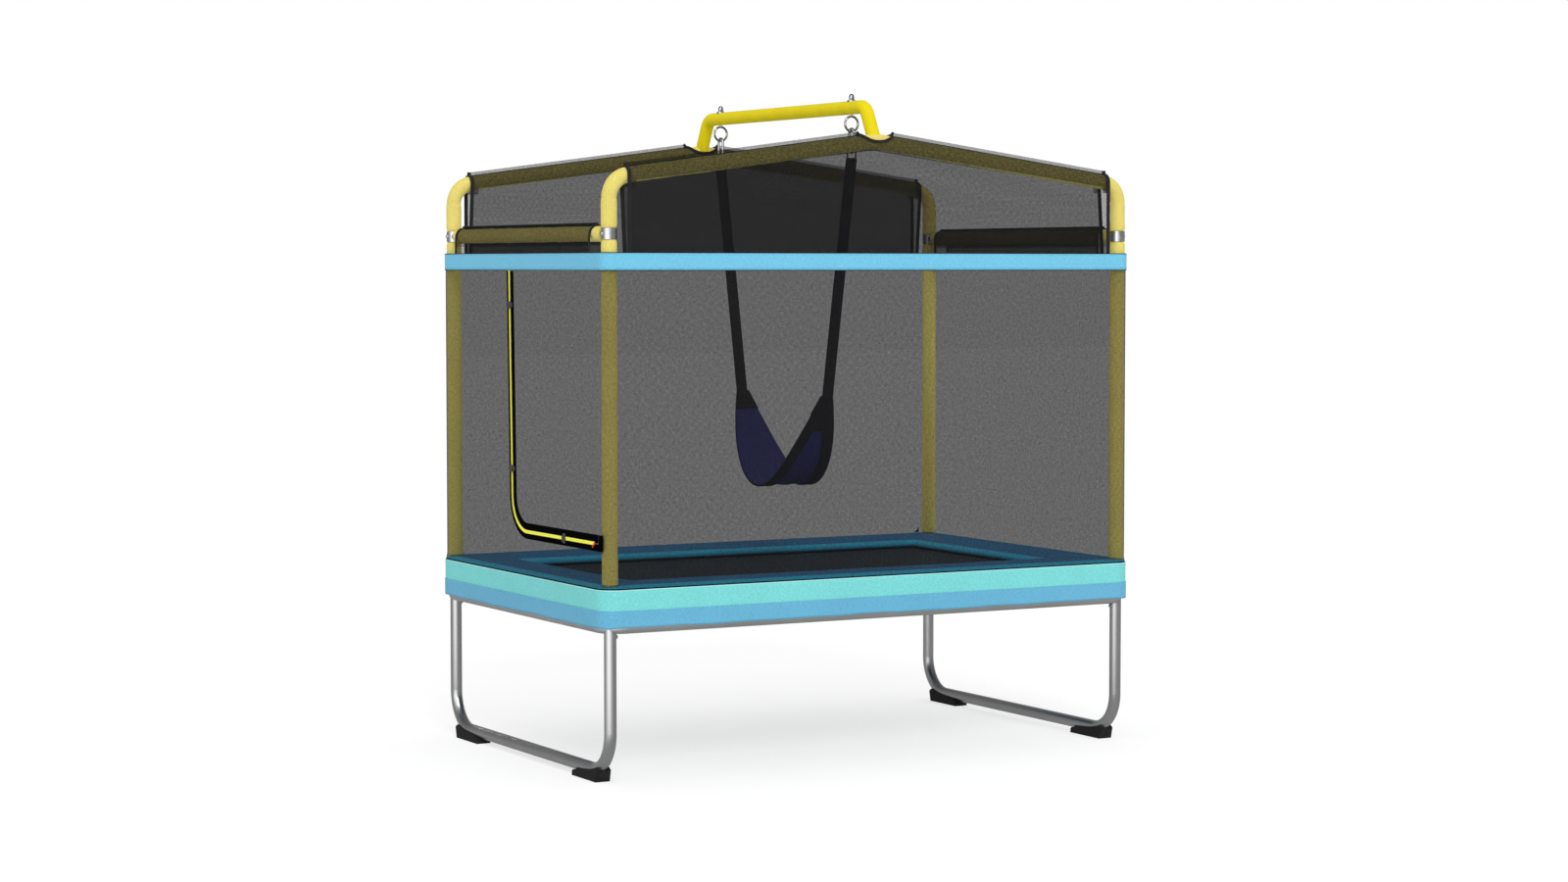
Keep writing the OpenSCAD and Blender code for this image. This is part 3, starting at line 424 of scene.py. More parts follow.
def thicken(piece, thickness):
    """Gives a single sheet its thickness, to both sides."""
    solid = piece.modifiers.new("thickness", "SOLIDIFY")
    solid.thickness = thickness
    solid.offset = 0.0
    return piece


def mat_height(x, y):
    """Level of the mat, lowest in the middle."""
    return DECK_Z - MAT_DIP * (1 - (x / MAT_X) ** 2) * (1 - (y / MAT_Y) ** 2)


rows = []
for x in np.linspace(-MAT_X, MAT_X, 73):
    rows.append([(x, y, mat_height(x, y)) for y in np.linspace(-MAT_Y, MAT_Y, 43)])
mat_sheet = thicken(lofted("mat_sheet", rows, mat_cloth), MAT_THICK)
settle(mat_sheet, "mat", "mat_fabric", "mat", flat=(2 * MAT_X, 2 * MAT_Y), held="stretched", rests_on=["mat_rings"])


def ribbon(name, path, across, width, thick, material):
    """A flat tape of rounded section along a path; across points over its width."""
    path, across = np.asarray(path, float), np.asarray(across, float)
    across = np.broadcast_to(across, path.shape)
    across = across / np.linalg.norm(across, axis=1)[:, None]
    tangents = frames_along(path)[0]
    normal = np.cross(tangents, across)
    normal /= np.linalg.norm(normal, axis=1)[:, None]
    deep = thick / 2
    edge = deep * 0.6
    rows = []
    for p, a, n, half in zip(path, across, normal, np.broadcast_to(np.asarray(width) / 2, len(path))):
        corner = [(half - edge, -deep), (half - edge * 0.4, -deep * 0.8), (half, 0)]
        corner += [(u, -v) for u, v in corner[1::-1]]
        section = [(0, -deep)] + corner + [(0, deep)] + [(-u, -v) for u, v in corner]
        rows.append([p + a * u + n * v for u, v in section])
    return rounded_bar(name, rows, material)


borders = []
for x0, y0, x1, y1, over in (
    (-MAT_X, -MAT_Y, MAT_X, -MAT_Y, (0, 1, 0)),
    (MAT_X, MAT_Y, -MAT_X, MAT_Y, (0, -1, 0)),
    (MAT_X, -MAT_Y, MAT_X, MAT_Y, (-1, 0, 0)),
    (-MAT_X, MAT_Y, -MAT_X, -MAT_Y, (1, 0, 0)),
):
    inset = Vector(over) * HEM_W / 2
    x0, y0, z0 = x0 + inset.x, y0 + inset.y, DECK_Z + 0.0002
    path = [(x0 + (x1 + inset.x - x0) * t, y0 + (y1 + inset.y - y0) * t, z0) for t in np.linspace(0, 1, 60)]
    borders.append(ribbon("border", path, over, HEM_W, HEM_THICK, black_webbing))
settle(joined("mat_border", borders), "mat", "black_webbing")


def thread_finish(name, colour, dark, light):
    """Twisted sewing thread, between a dark and a light tone."""
    return hard_finish(name, colour, 0.6, 300, (0.5, 0.7), (dark, light))


thread_black = thread_finish("black_thread", (0.035, 0.035, 0.038), (0.028, 0.028, 0.030), (0.045, 0.045, 0.048))
STITCH = 0.005


def stitched(name, seams, material, body, slot):
    """Rows of single stitches along seams; a seam is its points and the way its cloth faces."""
    places, turns = [], []
    for path, facing in seams:
        path = np.asarray(path, float)
        facing = np.broadcast_to(np.asarray(facing, float), path.shape)
        run = lengths_along(path)
        even = np.arange(STITCH / 2, run[-1], STITCH)
        spots = np.stack([np.interp(even, run, path[:, k]) for k in range(3)], 1)
        ups = np.stack([np.interp(even, run, facing[:, k]) for k in range(3)], 1)
        for spot, ahead, up in zip(spots, np.gradient(spots, axis=0), ups):
            ahead, up = Vector(ahead).normalized(), Vector(up)
            side = up.cross(ahead).normalized()
            places.append(tuple(spot))
            turns.append(tuple(Matrix((ahead, side, ahead.cross(side))).transposed().to_euler()))
    bow = [(-0.0014, 0, -0.0002), (-0.0008, 0, 0.00015), (0.0008, 0, 0.00015), (0.0014, 0, -0.0002)]
    settle(repeated(name, places, turns, wire("stitch", bow, 0.0003, 4, material), material), body, slot)


seams = []
for inset in (SEAM_IN, HEM_W - SEAM_IN):
    x, y, z = MAT_X - inset, MAT_Y - inset, DECK_Z + 0.0022
    corners = [(-x, -y, z), (x, -y, z), (x, y, z), (-x, y, z), (-x, -y, z)]
    seams += [([a, b], (0, 0, 1)) for a, b in zip(corners, corners[1:])]
stitched("mat_stitches", seams, thread_black, "mat", "mat_fabric")

# ---- mat rings ----
# Short webbing loops sewn under the mat's hem, each holding a welded triangular ring of bright wire
# that a spring hooks into.
def strap_finish(name, colour, pitch=0.0013, lift=0.00025, gloss=0.15):
    """Woven webbing for the CAD nodes: its threads follow the object's own axes."""
    material, tree, shader = finish_of(name, colour, 0.75, gloss=gloss)
    shader.inputs["Sheen Weight"].default_value = gloss / 4
    spot = put(tree, "ShaderNodeTexCoord", {}).outputs["Object"]
    split = put(tree, "ShaderNodeSeparateXYZ", {0: spot})
    one = reckon(tree, "ADD", split.outputs["X"], split.outputs["Z"])
    two = reckon(tree, "ADD", split.outputs["Y"], split.outputs["Z"])
    weave = threads(tree, one, two, pitch)
    bumped(tree, shader, weave, lift, 0.6)
    cloud = put(tree, "ShaderNodeTexNoise", {"Vector": spot, "Scale": 25, "Detail": 4}).outputs["Fac"]
    mixed = reckon(tree, "MULTIPLY_ADD", weave, 0.12, cloud)
    two_toned(tree, shader, mixed, 0.3, [c * 0.82 for c in colour], [min(1, c * 1.2) for c in colour])
    return material


refinish(strap_finish("loop_webbing", (0.02, 0.02, 0.022)), "mat_loops")
refinish(zinc, "mat_rings")

# ---- safety pad ----
# A foam frame in coated fabric, which covers the springs. Its top is blue, with a turquoise strip
# sewn along the outer and inner edges, and it has a hole round each pole.

# Steps of every outline over a long side, a short side and a corner, and all of them.
NX, NY, NC = 72, 46, 10
ROUND = 2 * (NX + NY) + 4 * NC


def outline(half_x, half_y, radius):
    """Points anticlockwise round a rounded rectangle, from the end of its front left corner."""
    a, b = half_x - radius, half_y - radius
    starts = ((-a, -half_y), (half_x, -b), (a, half_y), (-half_x, b))
    ends = ((a, -half_y), (half_x, b), (-a, half_y), (-half_x, -b))
    centres = ((a, -b), (a, b), (-a, b), (-a, -b))
    points = []
    for side in range(4):
        count = (NX, NY)[side % 2]
        for i in range(count):
            t = i / count
            points.append([p * (1 - t) + q * t for p, q in zip(starts[side], ends[side])])
        for i in range(NC):
            angle = math.radians(90 * (side - 1 + i / NC))
            x, y = centres[side]
            points.append([x + radius * math.cos(angle), y + radius * math.sin(angle)])
    return points


def ringed(levels):
    """Rows of outline points, one row for each (half_x, half_y, radius, z)."""
    return np.array([[(x, y, z) for x, y in outline(a, b, r)] for a, b, r, z in levels])


PAD_OUT, PAD_IN = (0.91477, 0.59177, 0.0542), (0.71077, 0.38777, 0.02)
PAD_LOW, PAD_TOP, PAD_EDGE, PAD_DROP = 0.553, 0.578, 0.024, 0.0085
PAD_SWELL, SWELL_FORCE, SWELL_FRAMES = 0.0035, 3.0, 14
pad_blue = cloth_finish("pad_cover_blue", (0.027, 0.192, 0.410), 0.5, 0.001, 0.0001, spread=0.1, gloss=0.1)
pad_teal = cloth_finish("pad_cover_turquoise", (0.042, 0.460, 0.720), 0.5, 0.001, 0.0001, spread=0.08, gloss=0.1)


def pad_level(t, z):
    """One ring of the pad's cover; the pad's inner edge drops on to the mat."""
    drop = max(0, min(1, (t - 0.70) / 0.24))
    drop = PAD_DROP * drop * drop * (3 - 2 * drop)
    return (*[p + (q - p) * t for p, q in zip(PAD_OUT, PAD_IN)], z - drop)


wide = PAD_OUT[0] - PAD_IN[0]
bottom, top = PAD_LOW + 0.0005, PAD_TOP - 0.004
section = [(0.012, bottom), (0.0, bottom + 0.005), (0.0, top - 0.007), (0.008, top - 0.002), (0.02, top - 0.0002)]
section += [(PAD_EDGE, top)] + [(s, top) for s in np.linspace(PAD_EDGE, wide - PAD_EDGE, 15)[1:-1]]
section += [(wide - PAD_EDGE, top), (wide - 0.02, top - 0.0002), (wide - 0.008, top - 0.002)]
section += [(wide, top - 0.007), (wide, bottom + 0.005), (wide - 0.012, bottom)]
section += [(s, bottom) for s in np.linspace(wide - 0.012, 0.012, 13)[1:-1]]
pad_rows = ringed([pad_level(s / wide, z) for s, z in section]).transpose(1, 0, 2)
pad_piece = lofted("pad_frame", pad_rows, pad_blue, pad_teal, closed_rows=True, closed_columns=True)
for face in pad_piece.data.polygons:
    reach = face.center
    edge_in = max(abs(reach.x) - PAD_IN[0], abs(reach.y) - PAD_IN[1])
    edge_out = min(PAD_OUT[0] - abs(reach.x), PAD_OUT[1] - abs(reach.y))
    face.material_index = int(min(edge_in, edge_out) < PAD_EDGE - 0.001)


def puffed(piece, pinned, cap):
    """Swells a closed cover by cloth pressure, held at its pinned points and moved by cap at most."""
    mesh = piece.data
    before = np.empty(len(mesh.vertices) * 3, np.float32)
    mesh.vertices.foreach_get("co", before)
    group = piece.vertex_groups.new(name="seams")
    group.add([int(i) for i in pinned], 1.0, "REPLACE")
    swell = piece.modifiers.new("swell", "CLOTH")
    swell.settings.use_pressure = True
    swell.settings.uniform_pressure_force = SWELL_FORCE
    swell.settings.effector_weights.gravity = 0
    swell.settings.vertex_group_mass = "seams"
    swell.settings.quality = 5
    scene = bpy.context.scene
    for number in range(1, SWELL_FRAMES + 1):
        scene.frame_set(number)
    view = bpy.context.evaluated_depsgraph_get()
    swollen = piece.evaluated_get(view).data
    after = np.empty_like(before)
    swollen.vertices.foreach_get("co", after)
    piece.modifiers.remove(swell)
    scene.frame_set(1)
    piece.vertex_groups.clear()
    move = (after - before).reshape(-1, 3)
    size = np.maximum(np.linalg.norm(move, axis=1), 1e-9)
    move *= np.minimum(1, cap / size)[:, None]
    mesh.vertices.foreach_set("co", (before.reshape(-1, 3) + move).astype(np.float32).ravel())
    mesh.update()


# Held are the seams along the section, the rows of the cover's cross seams and the flat underside.
per_row = len(section)
held = {1, 2, 5, 19, 22, 23}
seam_rows = [NX // 2, NX + NC + NY // 2, NX + 2 * NC + NY + NX // 2, 2 * NX + NY + 3 * NC + NY // 2]
seam_rows += [NX + NC // 2, NX + NY + NC + NC // 2, 2 * NX + NY + 2 * NC + NC // 2, ROUND - NC // 2]
pinned = [row * per_row + k for row in range(ROUND) for k in held]
pinned += [row * per_row + k for row in seam_rows for k in range(per_row)]
flat_bottom = [row * per_row + k for row in range(ROUND) for k in range(24, per_row)]
outward(pad_piece)
puffed(pad_piece, pinned + flat_bottom, PAD_SWELL)
thread_teal = thread_finish("teal_thread", (0.10, 0.48, 0.62), (0.08, 0.42, 0.55), (0.13, 0.54, 0.68))
seams = []
for s in (PAD_EDGE, wide - PAD_EDGE):
    level = pad_level(s / wide, top + 0.0003)
    loop = [(x, y, level[3]) for x, y in outline(*level[:3])]
    seams.append((loop + loop[:1], (0, 0, 1)))
stitched("pad_stitches", seams, thread_teal, "root", "pad_cover")
settle(pad_piece, "root", "pad_cover", "pad", fill=0.8)

# ---- skirts ----
# Two bands of coated oxford cloth hang from the pad's edge round the frame: a turquoise one, and a
# sky blue one sewn below it that ends under the ring.
turquoise = cloth_finish("turquoise_oxford", (0.210, 0.725, 0.720), 0.55, 0.0009, 0.00012, spread=0.17, slub=0.85)
sky_blue = cloth_finish("sky_blue_oxford", (0.146, 0.476, 0.700), 0.55, 0.0009, 0.00012, spread=0.15, slub=0.85)
FOLD, FOLDS, RIPPLE = 0.0012, 23, 0.0006


def hung(name, levels, material):
    """A band of cloth round the frame, with shallow folds that grow towards its lower edge."""
    rows = ringed(levels)
    high, low = levels[0][3], levels[-1][3]
    for row in rows:
        drop = max(0, min(1, (high - row[0][2]) / (high - low)))
        for i, point in enumerate(row):
            turn = 2 * math.pi * i / ROUND
            point[2] += RIPPLE * drop * (math.sin(9 * turn + 1) + math.sin(17 * turn) + math.sin(31 * turn + 2))
            depth = FOLD * drop * (math.sin(FOLDS * turn) + 0.6 * math.sin(2.3 * FOLDS * turn + 1.1)) / 1.6
            length = math.hypot(point[0], point[1])
            point[0] += -abs(depth) * point[0] / length
            point[1] += -abs(depth) * point[1] / length
    return lofted(name, rows, material, closed_columns=True)


def girth(half_x, half_y, radius):
    """Length of a rounded rectangle's outline."""
    return 4 * (half_x + half_y) - (8 - 2 * math.pi) * radius


# Half length, half width, corner radius and level of each row: the upper skirt is lapped over the pad's edge.
upper = [(0.9150, 0.5920, 0.0545, 0.5615), (0.9172, 0.5942, 0.0567, 0.5617)]
upper += [(0.91857, 0.59557, 0.058, z) for z in np.linspace(0.5605, 0.4920, 9)]
lower = [(0.92017, 0.59717, 0.0596, z) for z in np.linspace(0.5025, 0.4522, 8)]
for name, levels, cloth, node, slot in (
    ("skirt_turquoise", upper, turquoise, "skirt_upper", "turquoise_fabric"),
    ("skirt_blue", lower, sky_blue, "skirt_lower", "sky_fabric"),
):
    skirt = thicken(hung(name, levels, cloth), 0.0008)
    high = lengths_along(np.array([(a, 0, z) for a, _, _, z in levels]))[-1]
    settle(skirt, "root", slot, node, flat=(girth(*levels[-1][:3]), high), held="hung", rests_on=["pad_frame"])


def round_seam(half_x, half_y, radius, z, flat_x, flat_y):
    """A closed seam round the frame, with the way its cloth faces at each point."""
    loop = [(x, y, z) for x, y in outline(half_x, half_y, radius)]
    ways = [(x - max(-flat_x, min(flat_x, x)), y - max(-flat_y, min(flat_y, y)), 0) for x, y, _ in loop]
    return loop + loop[:1], ways + ways[:1]


thread_sky = thread_finish("sky_thread", (0.22, 0.58, 0.80), (0.18, 0.52, 0.74), (0.26, 0.64, 0.86))
seam = round_seam(0.9207, 0.5977, 0.0601, 0.4998, 0.862, 0.539)
stitched("skirt_stitches", [seam], thread_sky, "root", "sky_fabric")
# The piping along the turquoise skirt's top edge is far paler than its cloth: a painted highlight along that rounded
# edge.
piping_painted_highlight = cloth_finish("piping_painted_highlight", (0.42, 0.90, 0.88), 0.45, 0.0009, 0.0001, spread=0.1)
skirt_pipe = [(x, y, 0.5612) for x, y in outline(0.9182, 0.5952, 0.0577)]
skirt_piping = wire("skirt_piping", skirt_pipe, 0.0020, 8, piping_painted_highlight, closed=True)
settle(skirt_piping, "root", "turquoise_fabric")

# ---- poles ----
# Four straight steel tubes, powder coated in yellow. Each plugs into a socket of the ring's corner
# and carries a collar on its top.
PAINT_GRAIN = (500, 0.00002, 0.3)
yellow_paint = hard_finish("yellow_powder_coat", (0.571, 0.479, 0.020), 0.4, 30, (0.34, 0.46),
                           ((0.66, 0.55, 0.020), (0.69, 0.58, 0.025)), gloss=0.35, grain=PAINT_GRAIN)
refinish(yellow_paint, "pole_front_left", "pole_front_right", "pole_back_left", "pole_back_right")

# ---- foam sleeves ----
# Split foam tubes in a yellow cover round the poles, with one sewn seam down their inner side and
# the cover gathered a little at both ends.
foam_cover = cloth_finish("yellow_foam_cover", (0.825, 0.700, 0.178), 0.6, 0.0012, 0.00015, spread=0.14, slub=0.7)
FOAM_R, FOAM_SIDES, END_FOAM_R = 0.024, 36, 0.023
FOAM_LOW, FOAM_HIGH = 0.5765, 1.5645


def sleeve(name, stands_for, path, radius, seam, joints=(), foot=True):
    """A soft tube along a path, gathered at its ends, with a seam along it and butt joints across."""
    path = np.asarray(path, float)
    _, up, out = frames_along(path)
    run = lengths_along(path)
    total = run[-1]
    rows = []
    for centre, u, v, s in zip(path, up, out, run):
        end = min(s, total - s) if foot else total - s
        pull = 1 - 0.10 * math.exp(-((end / 0.006) ** 2))
        pull -= sum(0.045 * math.exp(-(((s - joint) / 0.0022) ** 2)) for joint in joints)
        soft = 0.0006 * math.sin(s * 41) + 0.0004 * math.sin(s * 97 + 1)
        row = []
        for k in range(FOAM_SIDES):
            angle = 2 * math.pi * k / FOAM_SIDES
            way = math.cos(angle) * u + math.sin(angle) * v
            dip = 0.0016 * max(0, way @ seam) ** 60
            row.append(centre + way * (radius * pull - 0.001 + soft * math.cos(angle * 2 + s * 9) - dip))
        rows.append(row)
    settle(rounded_bar(name, rows, foam_cover), "root", "yellow_foam", stands_for, fill=1.0)


def spaced(low, high):
    """Places along a straight run, close together at both ends."""
    count = max(4, round((high - low - 0.02) / 0.02))
    ends = [0, 0.002, 0.005, 0.009]
    middle = list(np.linspace(0.015, high - low - 0.015, count))
    return [low + v for v in ends + middle] + [high - v for v in ends[::-1]]


for side, x in (("left", -POLE_X), ("right", POLE_X)):
    for end, y in (("front", -POLE_Y), ("back", POLE_Y)):
        path = [(x, y, z) for z in spaced(FOAM_LOW, FOAM_HIGH)]
        seam = np.array([-math.copysign(0.7071, x), -math.copysign(0.7071, y), 0])
        sleeve(f"foam_sleeve_{end}_{side}", f"foam_{end}_{side}", path, FOAM_R, seam, foot=False)

# ---- corner joints ----
# Plated steel collars on the pole tops, each with a stub for the end rail and a clamp screw on its
# outer side. They hold pole, gable and end rail together.
plated = hard_finish("plated_collar", (0.66, 0.66, 0.67), 0.3, 45, (0.22, 0.36),
                     ((0.6, 0.6, 0.61), (0.74, 0.74, 0.76)), 1.0)
refinish(plated, "pole_joints")
COLLAR_X, JOINT_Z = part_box("pole_joints")[1][0] - 0.0004, 1.581
places = [(x, y, JOINT_Z) for x in (-COLLAR_X, COLLAR_X) for y in (-POLE_Y, POLE_Y)]
turns = [(0, math.copysign(math.pi / 2, x), 0) for x, _, _ in places]
collar_screws = repeated("collar_screws", places, turns, hex_screw(plated), plated, size=0.8)
settle(collar_screws, "root", "galvanised_steel")

# ---- gables ----
# Bent yellow tubes that rise from the corners to a low peak in the middle of the front and back,
# each in a foam sleeve.
refinish(yellow_paint, "gable_front", "gable_back")
BEND_X, BEND_Z, BEND_R = 0.812, 1.6817, 0.068
SLOPE = math.radians(7.65)
PEAK_R = 0.150
GABLE_FOOT = 1.5976


def gable_line(start_z):
    """Points of the gable's centreline in X and Z, from the left foot over the peak to the right."""
    half = [(POLE_X, z) for z in spaced(start_z, BEND_Z - 0.004)[:-4]]
    half += [(POLE_X, BEND_Z + shift) for shift in (-0.008, -0.005, -0.0025, -0.001)]
    turn = math.pi / 2 - SLOPE
    half += [(BEND_X + BEND_R * math.cos(a), BEND_Z + BEND_R * math.sin(a)) for a in np.linspace(0, turn, 12)]
    end_x, end_z = half[-1]
    for x in np.linspace(end_x, PEAK_R * math.sin(SLOPE), 40)[1:]:
        half.append((x, end_z + (end_x - x) * math.tan(SLOPE)))
    low_z = half[-1][1]
    centre_z = low_z - PEAK_R * math.cos(SLOPE)
    for a in np.linspace(SLOPE, 0, 5)[1:]:
        half.append((PEAK_R * math.sin(a), centre_z + PEAK_R * math.cos(a)))
    return [(-x, z) for x, z in half] + half[-2::-1]


for end, y in (("front", -POLE_Y), ("back", POLE_Y)):
    line = [(x, y, z) for x, z in gable_line(GABLE_FOOT)]
    length = lengths_along(np.array(line))[-1]
    joints = (BEND_Z - GABLE_FOOT, length - BEND_Z + GABLE_FOOT)
    sleeve(f"gable_sleeve_{end}", f"gable_foam_{end}", line, FOAM_R, np.array([0, 0, -1.0]), joints)

# ---- end rails ----
# Straight tubes that join the two gables at both ends, pushed on to the stubs of the collars. They
# are also in foam sleeves, which stop short of the collars.
END_FOAM = 0.5222
refinish(yellow_paint, "end_rail_left", "end_rail_right")
for side, x in (("left", -POLE_X), ("right", POLE_X)):
    line = [(x, y, JOINT_Z) for y in spaced(-END_FOAM, END_FOAM)]
    sleeve(f"end_sleeve_{side}", f"end_foam_{side}", line, END_FOAM_R, np.array([-math.copysign(1, x), 0, 0]))

# ---- wall nets ----
# Knitted black polyester mesh. The front and back lengths wrap the corner sleeves, and all four
# spread over the pad's edge at the foot, where a black hem is sewn above the skirt.

# Clear share of one layer, its change over a diamond, the diamonds' mean and pitch, the yarn's unevenness.
NET_OPEN, NET_CHANGE, DIAMOND_MEAN, DIAMOND, NET_UNEVEN = 0.345, 0.25, 0.405, 0.0045, 1.2


def net_finish(name, layers):
    """Knitted mesh: its threads are opaque and its holes clear, on the piece's UV map."""
    material, tree, shader = finish_of(name, (0.009, 0.009, 0.010), 0.9, gloss=0.04)
    place = put(tree, "ShaderNodeUVMap", {}, uv_map="UVMap").outputs["UV"]
    split = put(tree, "ShaderNodeSeparateXYZ", {0: place})
    plus = reckon(tree, "ADD", split.outputs["X"], split.outputs["Y"])
    minus = reckon(tree, "SUBTRACT", split.outputs["X"], split.outputs["Y"])
    one, two = (
        reckon(tree, "ABSOLUTE", reckon(tree, "SINE", reckon(tree, "MULTIPLY", way, math.pi / DIAMOND)))
        for way in (plus, minus)
    )
    holes = reckon(tree, "MULTIPLY", one, two)
    clear = reckon(tree, "MULTIPLY_ADD", holes, NET_CHANGE, NET_OPEN - NET_CHANGE * DIAMOND_MEAN)
    uneven = reckon(tree, "MULTIPLY_ADD", streaks(tree, place, 200, 90), NET_UNEVEN, 1 - NET_UNEVEN / 2)
    clear = reckon(tree, "MULTIPLY", clear, uneven)
    clear = reckon(tree, "MAXIMUM", clear, 0.02)
    passed = reckon(tree, "POWER", clear, float(layers))
    tree.links.new(reckon(tree, "SUBTRACT", 1.0, passed), shader.inputs["Alpha"])
    return material


net_mesh = net_finish("net_mesh", 1)
# The double net covers the gable sleeves over their tubes. On the inner side of the end sleeves it is painted shade.
net_double_and_shade = net_finish("net_mesh_double_and_shade", 2)
net_folded = net_finish("net_mesh_folded", 1.5)
NET_X, NET_Y, NET_R = 0.9084, 0.5854, 0.0334
NET_TOP, NET_FLARE, NET_ROWS = 1.480, 0.604, 56
net_levels = [(NET_X, NET_Y, NET_R, z) for z in np.linspace(NET_TOP, NET_FLARE, NET_ROWS)]
net_levels += [
    (0.9088, 0.5858, 0.0350, 0.594), (0.9096, 0.5866, 0.0385, 0.586), (0.9112, 0.5882, 0.0440, 0.5805),
    (0.9135, 0.5905, 0.0500, 0.5765), (0.9155, 0.5925, 0.0545, 0.5715), (0.9161, 0.5931, 0.0556, 0.5660),
    (0.9162, 0.5932, 0.0557, 0.5600),
]
net_grid = ringed(net_levels)
FRONT = list(range(ROUND - NC, ROUND)) + list(range(NX + NC + 1))
RIGHT = list(range(NX + NC, NX + NC + NY + 1))
BACK = list(range(NX + NC + NY, 2 * NX + NY + 3 * NC + 1))
LEFT = list(range(2 * NX + NY + 3 * NC, 2 * NX + 2 * NY + 3 * NC + 1))


def settle_net(piece, node, body="root", **cloth):
    """Hangs a length of netting on its body, hides its CAD node, and lets soft light through it."""
    piece.visible_diffuse = False
    settle(piece, body, "net", node, **cloth)


def cloth_size(rows):
    """Flat width and height of a cloth through rows of points, taken over its middle."""
    return lengths_along(rows[len(rows) // 2])[-1], lengths_along(rows[:, rows.shape[1] // 2])[-1]


for name, columns in (("front", FRONT), ("right", RIGHT), ("back", BACK)):
    rows = net_grid[:, columns]
    wall = lofted("wall_net_" + name, rows, net_mesh)
    settle_net(wall, "net_" + name, flat=cloth_size(rows), held="stretched", rests_on=["pad_frame"])

# The left length has the doorway cut out of it along the zip.
DOOR_TOP, HINGE_Y = 1.476, -0.5450
ZIP_Z, ZIP_R, ZIP_LEAN = 0.694, 0.105, math.radians(1.5)
ZIP_ARC_Y = 0.066 - (DOOR_TOP - ZIP_Z - ZIP_R) * math.tan(ZIP_LEAN) - ZIP_R


def zip_line(shift):
    """Points in Y and Z on the zip's line, moved outwards from the door by a negative shift."""
    points = [(y, ZIP_Z + shift) for y in np.linspace(HINGE_Y, ZIP_ARC_Y, 22)[:-1]]
    radius = ZIP_R - shift
    for a in np.linspace(-math.pi / 2, -ZIP_LEAN, 16):
        points.append((ZIP_ARC_Y + radius * math.cos(a), ZIP_Z + ZIP_R + radius * math.sin(a)))
    y, z = points[-1]
    for high in np.linspace(z, DOOR_TOP, 34)[1:]:
        points.append((y + (high - z) * math.tan(ZIP_LEAN), high))
    return points


def inside(point, polygon):
    """Whether a point lies in a closed outline."""
    y, z = point
    odd = False
    for (y0, z0), (y1, z1) in zip(polygon, polygon[1:] + polygon[:1]):
        if (z0 > z) != (z1 > z) and y < y0 + (z - z0) * (y1 - y0) / (z1 - z0):
            odd = not odd
    return odd


CLOTH_STEP = 0.022


def flat_cloth(name, border, holes, place, material):
    """A flat cloth with a given border and holes, filled with even triangles and put in place."""
    points, edges = [], []
    for loop in [border] + holes:
        first = len(points)
        points += [Vector(p) for p in loop]
        edges += [(first + i, first + (i + 1) % len(loop)) for i in range(len(loop))]
    lows, highs = np.min(border, axis=0), np.max(border, axis=0)
    near = np.array([tuple(p) for p in points])
    for i, a in enumerate(np.arange(lows[0] + CLOTH_STEP / 2, highs[0], CLOTH_STEP)):
        for b in np.arange(lows[1] + CLOTH_STEP / 2 * (1 + i % 2), highs[1], CLOTH_STEP):
            if np.min(np.hypot(near[:, 0] - a, near[:, 1] - b)) < CLOTH_STEP * 0.45:
                continue
            if inside((a, b), border) and not any(inside((a, b), hole) for hole in holes):
                points.append(Vector((a, b)))
    verts, _, faces, *_ = delaunay_2d_cdt(points, edges, [], 0, 1e-6)
    kept = []
    for face in faces:
        middle = sum((verts[i] for i in face), Vector((0, 0))) / len(face)
        if inside(middle, border) and not any(inside(middle, hole) for hole in holes):
            kept.append(face)
    cloth = piece_of(name, [place(*v) for v in verts], kept, material)
    layer = cloth.data.uv_layers.new(name="UVMap")
    for loop in cloth.data.loops:
        layer.data[loop.index].uv = verts[loop.vertex_index]
    work = bmesh.new()
    work.from_mesh(cloth.data)
    bmesh.ops.delete(work, geom=[v for v in work.verts if not v.link_faces], context="VERTS")
    work.to_mesh(cloth.data)
    work.free()
    return cloth


left_y = NET_Y - NET_R
doorway = zip_line(-0.0008) + [(HINGE_Y, DOOR_TOP)]
doorway = [(min(max(y, -left_y + 0.001), left_y), z) for y, z in doorway]
wall_border = [(-left_y, z) for z in np.linspace(NET_TOP, NET_FLARE, NET_ROWS)]
wall_border += [(y, NET_FLARE) for y in np.linspace(-left_y, left_y, NY + 1)[1:]]
wall_border += [(left_y, z) for z in np.linspace(NET_FLARE, NET_TOP, NET_ROWS)[1:]]
wall_border += [(y, NET_TOP) for y in np.linspace(left_y, -left_y, NY + 1)[1:-1]]
left_wall = flat_cloth("left_wall", wall_border, [doorway], lambda y, z: (-NET_X, y, z), net_mesh)
left_foot = lofted("left_foot", net_grid[NET_ROWS - 1:, LEFT], net_mesh)
left_net = joined("wall_net_left", [left_wall, left_foot])
across, high = cloth_size(net_grid[:, LEFT])
door_area = abs(sum(y0 * z1 - y1 * z0 for (y0, z0), (y1, z1) in zip(doorway, doorway[1:] + doorway[:1])) / 2)
settle_net(left_net, "net_left", flat=(across, high), held="stretched", area=across * high - door_area,
           rests_on=["pad_frame"])

